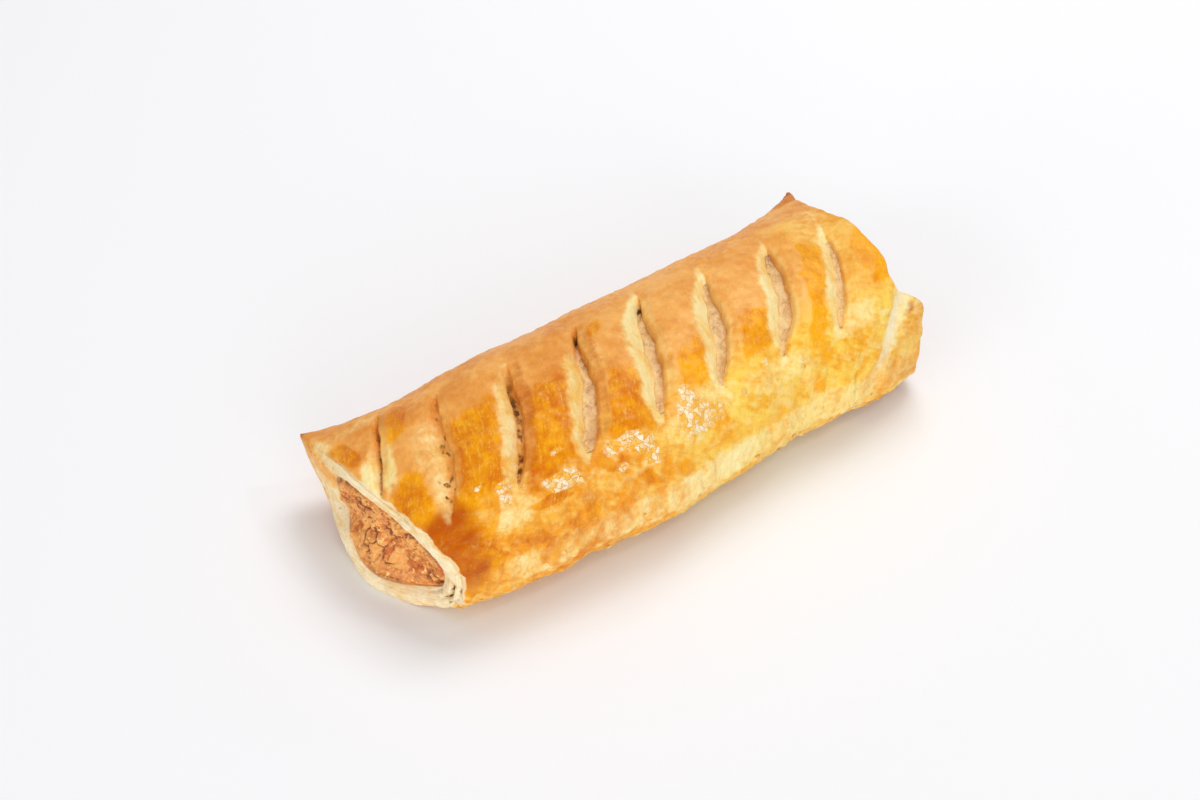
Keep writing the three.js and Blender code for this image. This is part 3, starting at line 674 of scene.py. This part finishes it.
def plug(value, socket):
    """Links a socket's value to the socket, or sets a number or a colour of 0 to 255 parts on it."""
    if isinstance(value, bpy.types.NodeSocket):
        socket.id_data.links.new(value, socket)
    elif isinstance(value, tuple):
        socket.default_value = from_srgb(*value)
    else:
        socket.default_value = value


def mask_of(tree, name, output="Fac"):
    """The value of one of the piece's masks, or another output of it."""
    reader = tree.nodes.new("ShaderNodeAttribute")
    reader.attribute_name = name
    return reader.outputs[output]


def noise_at(place, scale, detail, roughness):
    """A noise texture's value at a place, in cells per unit of place."""
    texture = place.id_data.nodes.new("ShaderNodeTexNoise")
    plug(place, texture.inputs["Vector"])
    plug(scale, texture.inputs["Scale"])
    plug(detail, texture.inputs["Detail"])
    plug(roughness, texture.inputs["Roughness"])
    return texture.outputs["Fac"]


def noise_of(tree, scale, detail=3.0, roughness=0.55):
    """Noise on the piece's own coordinates, in cells per metre."""
    return noise_at(tree.nodes.new("ShaderNodeTexCoord").outputs["Object"], scale, detail, roughness)


def streaks_of(tree, lean_degrees, long_mm, wide_mm):
    """Stretched noise on the piece's unrolled surface: streaks that lean from its length."""
    turned = tree.nodes.new("ShaderNodeMapping")
    turned.vector_type = "TEXTURE"
    turned.inputs["Rotation"].default_value = (0, 0, np.radians(lean_degrees))
    turned.inputs["Scale"].default_value = (long_mm, wide_mm, 1)
    plug(mask_of(tree, "flow", "Vector"), turned.inputs["Vector"])
    return noise_at(turned.outputs["Vector"], 1.0, 4.0, 0.6)


def cells_of(tree, size_mm, bend_mm):
    """Bent cells on the piece's unrolled surface: how far from the nearest edge, in cells, and
    a random number for each."""
    place = mask_of(tree, "flow", "Vector")
    bend = tree.nodes.new("ShaderNodeTexNoise")
    plug(place, bend.inputs["Vector"])
    plug(0.8 / size_mm, bend.inputs["Scale"])
    moved = tree.nodes.new("ShaderNodeVectorMath")
    moved.operation = "MULTIPLY_ADD"
    moved.inputs[1].default_value = (bend_mm, bend_mm, 0)
    plug(bend.outputs["Color"], moved.inputs[0])
    plug(place, moved.inputs[2])
    outputs = []
    for feature, output in (("DISTANCE_TO_EDGE", "Distance"), ("F1", "Color")):
        texture = tree.nodes.new("ShaderNodeTexVoronoi")
        texture.voronoi_dimensions = "2D"
        texture.feature = feature
        plug(moved.outputs[0], texture.inputs["Vector"])
        plug(1 / size_mm, texture.inputs["Scale"])
        outputs.append(texture.outputs[output])
    return outputs


def worked_out(operation, *values):
    """A sum, product or other operation on values. The first is a socket, and any other is a
    socket or a number."""
    worker = values[0].id_data.nodes.new("ShaderNodeMath")
    worker.operation = operation
    for value, socket in zip(values, worker.inputs):
        plug(value, socket)
    return worker.outputs[0]


def sharpened(mask, noises, low, high):
    """The mask plus each noise about its middle times its amount, run smoothly from 0 at low to 1
    at high."""
    total = mask
    for noise, amount in noises:
        total = worked_out("ADD", total, worked_out("MULTIPLY_ADD", noise, amount, -amount / 2))
    spread = mask.id_data.nodes.new("ShaderNodeMapRange")
    spread.interpolation_type = "SMOOTHSTEP"
    plug(total, spread.inputs["Value"])
    plug(low, spread.inputs["From Min"])
    plug(high, spread.inputs["From Max"])
    return spread.outputs["Result"]


def mixed(share, first, second):
    """A colour between first and second by share. Each colour is a socket or 0 to 255 parts."""
    mix = share.id_data.nodes.new("ShaderNodeMix")
    mix.data_type = "RGBA"
    for value, socket in ((share, mix.inputs[0]), (first, mix.inputs[6]), (second, mix.inputs[7])):
        plug(value, socket)
    return mix.outputs[2]


def coated(colour, coats):
    """The colour under some coats, one on another, each a share that shows where it lies and a
    colour."""
    for share, paint in coats:
        colour = mixed(share, colour, paint)
    return colour


def bumps(shader, layers):
    """Bump maps one on another, each a height socket, a strength and a depth in metres."""
    normal = None
    for height_socket, strength, depth_m in layers:
        bump = shader.id_data.nodes.new("ShaderNodeBump")
        plug(strength, bump.inputs["Strength"])
        plug(depth_m, bump.inputs["Distance"])
        plug(height_socket, bump.inputs["Height"])
        if normal is not None:
            plug(normal, bump.inputs["Normal"])
        normal = bump.outputs["Normal"]
    plug(normal, shader.inputs["Normal"])


STROKE_LEAN = 120
FOLD_LEAN = 37
RING_LEAN = 90
tree, crust_shader = new_finish(crust, "baked_puff_pastry")
seen = {name: mask_of(tree, name) for name in crust_masks}
mottle = noise_of(tree, 170, 5, 0.6)
speckle = noise_of(tree, 560, 5, 0.65)
grain = noise_of(tree, 1500)
strokes = streaks_of(tree, STROKE_LEAN, 5.0, 0.8)
flecks = streaks_of(tree, STROKE_LEAN, 2.6, 0.5)
folds = streaks_of(tree, FOLD_LEAN, 6.0, 1.1)
layers_seen = streaks_of(tree, RING_LEAN, 5.0, 0.28)
bubble_edge, bubble_own = cells_of(tree, 1.2, 1.6)
wrinkle_edge, _ = cells_of(tree, 3.6, 5.0)
top_tone = sharpened(seen["tone"], [(speckle, 0.8), (strokes, 0.3)], -0.1, 1.1)
front_tone = sharpened(seen["tone"], [(speckle, 1.2), (folds, 1.0), (mottle, 1.2)], 0.0, 1.0)
glaze_tone = sharpened(seen["tone"], [(mottle, 1.1), (strokes, 0.4), (speckle, 0.5)], 0.0, 1.0)
bank_tone = sharpened(seen["tone"], [(strokes, 0.6), (speckle, 0.9)], -0.05, 0.95)
wall_tone = sharpened(seen["tone"], [(speckle, 0.9), (strokes, 0.7)], 0.0, 1.0)
crumb_tone = sharpened(seen["tone"], [(layers_seen, 1.1), (speckle, 0.7)], 0.0, 0.9)
crust_tan = mixed(top_tone, (231, 143, 54), (253, 185, 100))
golden = mixed(front_tone, (244, 152, 26), (254, 206, 102))
gold_yellow = mixed(front_tone, (248, 164, 14), (255, 214, 92))
glaze = mixed(seen["yellow"], mixed(glaze_tone, (217, 109, 0), (253, 171, 0)), (253, 174, 10))
cream = mixed(bank_tone, (254, 206, 104), (255, 240, 178))
# The bare walls and tan floors of the slashes: partly the cut pastry's own tan and partly painted shade, as
# the walls face away from the high lamp
shaded_cut_wall = mixed(wall_tone, (208, 130, 44), (248, 192, 102))
crumb = mixed(crumb_tone, (244, 200, 128), (255, 238, 200))
# Blister bubbles: pale pastry painted up to near white as highlights, with darker rims of painted shade
# between them
bubble_tone = sharpened(bubble_own, [(speckle, 1.0), (mottle, 0.8)], 0.2, 0.9)
bubble_and_glint = mixed(bubble_tone, (253, 190, 62), (255, 244, 214))
bubble_and_glint = mixed(sharpened(bubble_edge, [(grain, 0.12)], 0.09, 0.01), bubble_and_glint, (230, 152, 56))
# Short bright streaks on the glaze: pale flecks and painted glints
flecks_and_glints = worked_out("MULTIPLY", sharpened(flecks, [(grain, 0.5)], 0.54, 0.68), seen["wash"])
# thin lines of painted shade along the creases of fine wrinkles
wrinkle_shade = worked_out("MULTIPLY", sharpened(wrinkle_edge, [(grain, 0.04)], 0.05, 0.0),
                     sharpened(seen["wrinkle_shade"], [(speckle, 1.6), (mottle, 1.4)], 0.35, 0.95))
crust_colour = coated(crust_tan, (
    (seen["front"], golden),
    (seen["yellow"], gold_yellow),
    (sharpened(seen["wash"], [(speckle, 0.9), (strokes, 0.5)], 0.12, 0.66), glaze),
    (worked_out("MULTIPLY", flecks_and_glints, 0.45), (255, 204, 84)),
    # toasted pastry, and painted shade on slash walls and under the far tongue
    (sharpened(seen["toast_and_shade"], [(mottle, 1.0)], 0.05, 1.0), (192, 82, 0)),
    (sharpened(seen["bare"], [(speckle, 0.9), (folds, 0.2)], 0.0, 1.0), cream),
    (sharpened(seen["wall"], [(speckle, 1.2)], 0.1, 1.05), shaded_cut_wall),
    (sharpened(seen["crumb"], [(speckle, 0.8)], 0.1, 0.9), crumb),
    (sharpened(seen["meaty"], [(speckle, 0.6)], 0.4, 0.9), (232, 172, 122)),
    (sharpened(seen["blister"], [(speckle, 1.2), (mottle, 1.4)], 0.25, 0.95), bubble_and_glint),
    (worked_out("MULTIPLY", wrinkle_shade, 0.3), (198, 116, 34)),
    # painted shade in the crevices, holes and cracks
    (sharpened(seen["dark"], [(grain, 0.4), (speckle, 1.2)], 0.4, 0.9), (112, 60, 18))))
plug(crust_colour, crust_shader.inputs["Base Color"])
shine = tree.nodes.new("ShaderNodeMapRange")
plug(seen["wash"], shine.inputs["Value"])
plug(0.55, shine.inputs["To Min"])
plug(0.32, shine.inputs["To Max"])
plug(shine.outputs["Result"], crust_shader.inputs["Roughness"])
plug(0.35, crust_shader.inputs["Specular IOR Level"])
crust_shader.inputs["Specular Tint"].default_value = (1.0, 0.78, 0.12, 1.0)
plug(0.14, crust_shader.inputs["Coat Weight"])
plug(0.2, crust_shader.inputs["Coat Roughness"])
domes = worked_out("MULTIPLY", sharpened(bubble_edge, [], 0.0, 0.35), seen["blister"])
bumps(crust_shader, [(mottle, 0.5, 0.0010), (strokes, 0.28, 0.0004), (flecks, 0.35, 0.0004),
                     (speckle, 0.8, 0.0006), (grain, 0.5, 0.0002), (domes, 0.4, 0.0003)])
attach(crust, "root")
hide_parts("pastry")

# Flakes
# Thin shards of the outermost pastry layer that lifted and curled as it baked. They stand on the
# blistered patches, low on the front and along the cut lip.
FLAKE_COUNT = 90
FLAKE_RIM = 9
FLAKE_POINTS = 2 * FLAKE_RIM + 2
FLAKE_HALF = 0.05
FLAKE_LIFT = 0.05
draws = np.random.default_rng(61)
flaky = 0.35 * blister_patch + 0.4 * ledge_mask + 0.04 * bare * band(turns, 125, 140, 235, 250)
flaky *= np.linalg.norm(np.gradient(plain_crust, axis=2), axis=0)
flaky *= np.linalg.norm(np.gradient(plain_crust, axis=1), axis=0)
chances = (flaky / flaky.sum()).ravel()
spots = draws.choice(chances.size, FLAKE_COUNT, p=chances)
roots = outer_crust.reshape(3, -1)[:, spots].T
up = outward.reshape(3, -1)[:, spots].T
aside = np.cross(up, draws.normal(size=(FLAKE_COUNT, 3)))
aside /= np.linalg.norm(aside, axis=1, keepdims=True)
ahead = np.cross(up, aside)
size = draws.uniform(0.35, 1.15, (FLAKE_COUNT, 1))
angle = np.linspace(0, 2 * np.pi, FLAKE_RIM, endpoint=False) + draws.uniform(0, 0.5, (FLAKE_COUNT, FLAKE_RIM))
radius = size * draws.uniform(0.55, 1.1, (FLAKE_COUNT, FLAKE_RIM))
out_aside, out_ahead = radius * np.cos(angle), 0.7 * radius * np.sin(angle)
lift = FLAKE_LIFT + draws.uniform(0.0, 0.35, (FLAKE_COUNT, 1)) * out_aside + 0.3 * out_ahead ** 2
flat_rim = roots[:, None] + out_aside[..., None] * aside[:, None] + out_ahead[..., None] * ahead[:, None]
flake_points = np.hstack([
    flat_rim + (lift + FLAKE_HALF)[..., None] * up[:, None],
    flat_rim + (lift - FLAKE_HALF)[..., None] * up[:, None],
    (roots + (FLAKE_LIFT + FLAKE_HALF) * up)[:, None],
    (roots + (FLAKE_LIFT - FLAKE_HALF) * up)[:, None]])
above = np.arange(FLAKE_RIM)
above_next = (above + 1) % FLAKE_RIM
below, below_next = above + FLAKE_RIM, above_next + FLAKE_RIM
middle = np.full(FLAKE_RIM, 2 * FLAKE_RIM)
one_flake = np.vstack([np.stack(corners, axis=-1) for corners in (
    (middle, above, above_next), (middle + 1, below_next, below),
    (above, below_next, above_next), (above, below, below_next))])
flake_faces = one_flake[None] + (np.arange(FLAKE_COUNT) * FLAKE_POINTS)[:, None, None]
flakes = make_piece("flakes", placed(flake_points.reshape(-1, 3).T), flake_faces.reshape(-1, 3).tolist(),
                    {"tint": np.repeat(draws.uniform(0, 1, FLAKE_COUNT), FLAKE_POINTS)})

tree, flake_shader = new_finish(flakes, "loose_pastry_flakes")
grain = noise_of(tree, 1500)
flake_colour = mixed(mask_of(tree, "tint"), (248, 180, 70), (255, 222, 150))
flake_colour = mixed(sharpened(grain, [], 0.5, 0.8), flake_colour, (250, 208, 132))
plug(flake_colour, flake_shader.inputs["Base Color"])
plug(0.5, flake_shader.inputs["Roughness"])
bumps(flake_shader, [(grain, 0.3, 0.0002)])
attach(flakes, "root")

# Mince
# Coarse minced beef, baked firm inside the pastry. It fills the cavity from end to end, stands a
# little back from the bottom lip at both mouths, and shows at the floors of the slashes.
MINCE_RINGS = 70
MINCE_STATIONS = 50
MINCE_STEPS = 240
MINCE_LIP_SHARE = 0.97
PAD_RINGS = 60
PAD_ACROSS = 12
PAD_UNDERSIDE = 4.5


def minced(places, seed):
    """Grains of mince: warped rounded cells with broken creases between them, and ridged shreds on
    top. Gives their height, their smoothness (0 in a crease) and each grain's own number."""
    bent = [place + 1.3 * soft_noise(places, 2.9, seed + 3 * axis)
            + 0.5 * soft_noise(places, 1.1, seed + 5 * axis) for axis, place in enumerate(places)]
    first, second, owner = nearest_cells(bent, 3.2, seed)
    crease = smooth(0.0, 0.12, second - first)
    crease = 1 - (1 - crease) * smooth(-0.4, 0.3, soft_noise(places, 3.4, seed + 11))
    shreds = 1 - np.abs(soft_noise([bent[0] * 0.6 + bent[1] * 0.5, *bent[1:]], 1.3, seed + 13))
    fine_first, fine_second, fine_owner = nearest_cells(bent, 1.1, seed + 7)
    crumbs = smooth(0.0, 0.3, fine_second - fine_first)
    height = crease * (0.4 + 1.0 * (owner - 0.5) + 1.4 * (0.45 - first)) + 0.6 * (shreds - 0.5) - 0.25
    height += 0.14 * crumbs * (0.3 + fine_owner)
    return height, crease * (0.7 + 0.3 * crumbs), 0.45 * owner + 0.3 * fine_owner + 0.25 * shreds


mince_turns = np.linspace(0, 360, MINCE_STEPS, endpoint=False)
side_stations = np.sin(np.linspace(-1, 1, MINCE_STATIONS) * np.pi / 2)[:, None]
sides = cavity(side_stations, mince_turns, 0.12, MINCE_LIP_SHARE)
sides[0] += 0.1 * ramp(-side_stations, 0.6, 1.5) - 2.0 * ramp(side_stations, 0.6, 1.5)
face_share = (np.arange(1, MINCE_RINGS) / MINCE_RINGS)[:, None]
end_faces, end_masks = {}, {}
for end in (-1.0, 1.0):
    rim = sides[:, 0 if end < 0 else -1]
    middle = rim.mean(axis=1)[:, None]
    face = rim[:, None] * (1 - face_share) + middle[:, None] * face_share
    relief, grain_smooth, grain_own = minced((face[1], face[2], face[0] * 0 + 9 * end), 211)
    rounded = smooth(0.0, 0.1, face_share)
    gap_chance = smooth(-0.2, 0.5, soft_noise((mince_turns,), 14.0, 213)) * smooth(0.13, 0.02, face_share)
    back_gap = bell((mince_turns + 180) % 360, 195, 26) * smooth(0.16, 0.03, face_share)
    gap_chance = np.maximum(gap_chance, back_gap)
    below = band(mince_turns, 200, 225, 290, 320) * smooth(0.42, 0.2, face_share)
    relief *= 1 - 0.6 * below
    grain_smooth = np.maximum(grain_smooth, 0.6 * below)
    grain_own = grain_own * (1 - 0.6 * below) + 0.3 * below
    face[0] += end * (1.15 * relief * (0.2 + 0.8 * rounded) + 0.7 * rounded - 1.0 * gap_chance)
    end_faces[end] = face
    # Where the mince stands back from the lip its smoothness is lowered: painted shade in the gap
    end_masks[end] = (grain_smooth * (1 - 0.8 * gap_chance), grain_own)
mince_rings = np.hstack([end_faces[-1.0][:, ::-1], sides, end_faces[1.0]])
plain_side = np.ones((MINCE_STATIONS, MINCE_STEPS))
crease_rings = np.vstack([end_masks[-1.0][0][::-1], plain_side, end_masks[1.0][0]])
tint_rings = np.vstack([end_masks[-1.0][1][::-1], 0.5 * plain_side, end_masks[1.0][1]])


def closed_tube(rings):
    """Points and faces of a run of rings with a fan closing each end."""
    count, steps = rings.shape[1:]
    centres = np.stack([rings[:, 0].mean(axis=1), rings[:, -1].mean(axis=1)], axis=1)
    points = np.hstack([rings.reshape(3, -1), centres])
    here = np.arange(steps)
    beside = (here + 1) % steps
    last = (count - 1) * steps
    near_cap = np.stack([np.full(steps, count * steps), beside, here], axis=-1)
    far_cap = np.stack([np.full(steps, count * steps + 1), last + here, last + beside], axis=-1)
    return points, skin_faces(count, steps, False).tolist() + near_cap.tolist() + far_cap.tolist()


mince_points, mince_faces = closed_tube(mince_rings)
mince_masks = {"crease": [np.append(crease_rings.ravel(), [1.0, 1.0])],
               "grain_tint": [np.append(tint_rings.ravel(), [0.5, 0.5])],
               "pallor": [np.zeros(mince_points.shape[1])],
               "crumbed": [np.zeros(mince_points.shape[1])]}

# The mince that shows at the floor of each slash is a low ridge along it
over = np.linspace(1, -1, PAD_ACROSS)[None]
for number, slash in enumerate(SLASHES):
    if slash.mince == 0:
        continue
    pad_share = np.linspace(0.12 if slash.hole > 1 else 0.06, 0.96, PAD_RINGS)[:, None]
    pad_turns = slash.back_turn + (slash.front_turn - slash.back_turn) * pad_share
    line, half, _, opened = slash_opening(number, pad_turns)
    pad_x = line + over * (half + 0.35)
    pad_turn = np.broadcast_to(pad_turns, pad_x.shape)
    pad_station = station_at(pad_x, pad_turn)
    ground = smooth_crust(pad_station, pad_turn)
    pad_up = crust_outward(pad_station, pad_turn)
    relief, grain_smooth, grain_own = minced((pad_x, pad_turn * 0.45, 0 * pad_x + 20 + 9 * number), 223)
    # The back hole darkens the start of the ridge with painted shade
    in_hole = np.clip(slash.hole - 0.6, 0, 0.6) * smooth(0.26, 0.08, pad_share)
    grain_smooth = np.maximum(grain_smooth, 0.6 * slash.pinkness) * (1 - in_hole)
    top_depth = SLASH_DEPTH * opened - 0.3 - 0.25 * relief + 0.5 * over ** 4
    upper = ground - pad_up * top_depth
    lower = (ground - pad_up * (PAD_UNDERSIDE + 0 * pad_x))[:, :, ::-1]
    pad_points, pad_faces = closed_tube(np.dstack([upper, lower]))
    first_index = mince_points.shape[1]
    mince_faces += [[index + first_index for index in face] for face in pad_faces]
    mince_points = np.hstack([mince_points, pad_points])
    crumbed = smooth(-0.1, -0.95, over + 0.35 * soft_noise((pad_x, pad_turn * 0.45), 1.6, 225))
    for mask_name, value in (("crease", grain_smooth), ("grain_tint", grain_own),
                             ("pallor", slash.pinkness + 0 * pad_x), ("crumbed", crumbed)):
        both = np.hstack([value, value[:, ::-1]])
        mince_masks[mask_name].append(np.append(both.ravel(), [0.5, 0.5]))
mince_masks = {name: np.hstack(parts) for name, parts in mince_masks.items()}
mince = make_piece("mince", placed(mince_points), mince_faces, mince_masks)

tree, mince_shader = new_finish(mince, "cooked_beef_mince")
mottle = noise_of(tree, 360, 5, 0.6)
grain = noise_of(tree, 1300, 4, 0.6)
meat_tone = sharpened(mask_of(tree, "grain_tint"), [(grain, 0.7)], 0.25, 0.7)
pale_meat = mixed(sharpened(mottle, [(grain, 0.4)], 0.2, 0.8), (204, 152, 84), (242, 206, 146))
meat = coated(mixed(meat_tone, (204, 98, 22), (242, 172, 88)), (
    (sharpened(mottle, [(grain, 0.6)], 0.58, 0.7), (233, 124, 22)),
    (sharpened(mottle, [(grain, 0.6)], 0.42, 0.32), (200, 126, 66)),
    (sharpened(grain, [(mottle, 0.6)], 0.6, 0.7), (254, 216, 140)),
    (mask_of(tree, "pallor"), pale_meat),
    (worked_out("MULTIPLY", mask_of(tree, "crumbed"), 0.85), (250, 212, 140))))
# Creases between grains, the gap behind each lip and the slashes' back holes: painted shade
meat = mixed(sharpened(mask_of(tree, "crease"), [(grain, 0.5)], 0.1, 0.8), (140, 66, 22), meat)
plug(meat, mince_shader.inputs["Base Color"])
plug(0.45, mince_shader.inputs["Roughness"])
bumps(mince_shader, [(mottle, 0.5, 0.0006), (grain, 0.5, 0.0003)])
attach(mince, "root")
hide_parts("filling")

# Floor
# A plain pale sheet under the roll, wide enough to fill the view and take its soft shadows.
FLOOR_HALF = 3.0
floor_corners = FLOOR_HALF * np.array([(-1, -1, 0), (1, -1, 0), (1, 1, 0), (-1, 1, 0)])
floor = make_piece("floor", floor_corners, [(0, 1, 2, 3)], {})
_, floor_shader = new_finish(floor, "pale_sheet")
plug((247, 247, 249), floor_shader.inputs["Base Color"])
plug(0.8, floor_shader.inputs["Roughness"])

# Lights
# A pale studio: even light from all round, a soft lamp high behind the far end and a weaker one
# in front.
world = bpy.data.worlds.new("studio")
world.use_nodes = True
world.node_tree.nodes["Background"].inputs["Color"].default_value = (1, 1, 1, 1)
world.node_tree.nodes["Background"].inputs["Strength"].default_value = 0.49
bpy.context.scene.world = world


def soft_lamp(name, place, width, watts):
    """A square area lamp at place in metres, turned to face the roll."""
    lamp = bpy.data.lights.new(name, "AREA")
    lamp.size = width
    lamp.energy = watts
    holder = new_object(name, lamp)
    holder.location = place
    holder.rotation_mode = "QUATERNION"
    holder.rotation_quaternion = (-Vector(place)).to_track_quat("-Z", "Y")


soft_lamp("high_lamp", (0.4, 0.25, 0.85), 0.5, 4.1)
soft_lamp("front_lamp", (-0.35, -1.05, 0.32), 0.7, 3.9)
soft_lamp("near_lamp", (-0.9, -0.25, 0.35), 0.6, 2.4)
soft_lamp("glint_lamp", (0.5, -0.42, 0.9), 0.07, 0.5)

# Camera
# It looks down on the roll's front from the near end, as in the photograph.
CAMERA_ELEVATION = np.radians(41.8)
CAMERA_TURN = np.radians(37.3)
CAMERA_DISTANCE = 0.5112
CAMERA_SHIFT_RIGHT = -0.00726
CAMERA_SHIFT_UP = 0.0122
FOCAL_PIXELS = 2067
IMAGE_WIDTH_PIXELS = 1200
SENSOR_WIDTH = 36.0
view_direction = Vector((np.sin(CAMERA_TURN) * np.cos(CAMERA_ELEVATION),
                         np.cos(CAMERA_TURN) * np.cos(CAMERA_ELEVATION), -np.sin(CAMERA_ELEVATION)))
view_right = Vector((np.cos(CAMERA_TURN), -np.sin(CAMERA_TURN), 0))
view_up = view_right.cross(view_direction)
lens = bpy.data.cameras.new("camera")
lens.sensor_width = SENSOR_WIDTH
lens.lens = SENSOR_WIDTH * FOCAL_PIXELS / IMAGE_WIDTH_PIXELS
lens.clip_start = 0.01
camera = new_object("camera", lens)
camera.rotation_mode = "QUATERNION"
camera.rotation_quaternion = Matrix((view_right, view_up, -view_direction)).transposed().to_quaternion()
camera.location = (Vector((centring * MILLIMETRE).tolist()) - view_direction * CAMERA_DISTANCE
                   + view_right * CAMERA_SHIFT_RIGHT + view_up * CAMERA_SHIFT_UP)
bpy.context.scene.camera = camera
bpy.context.scene.view_settings.view_transform = "Standard"
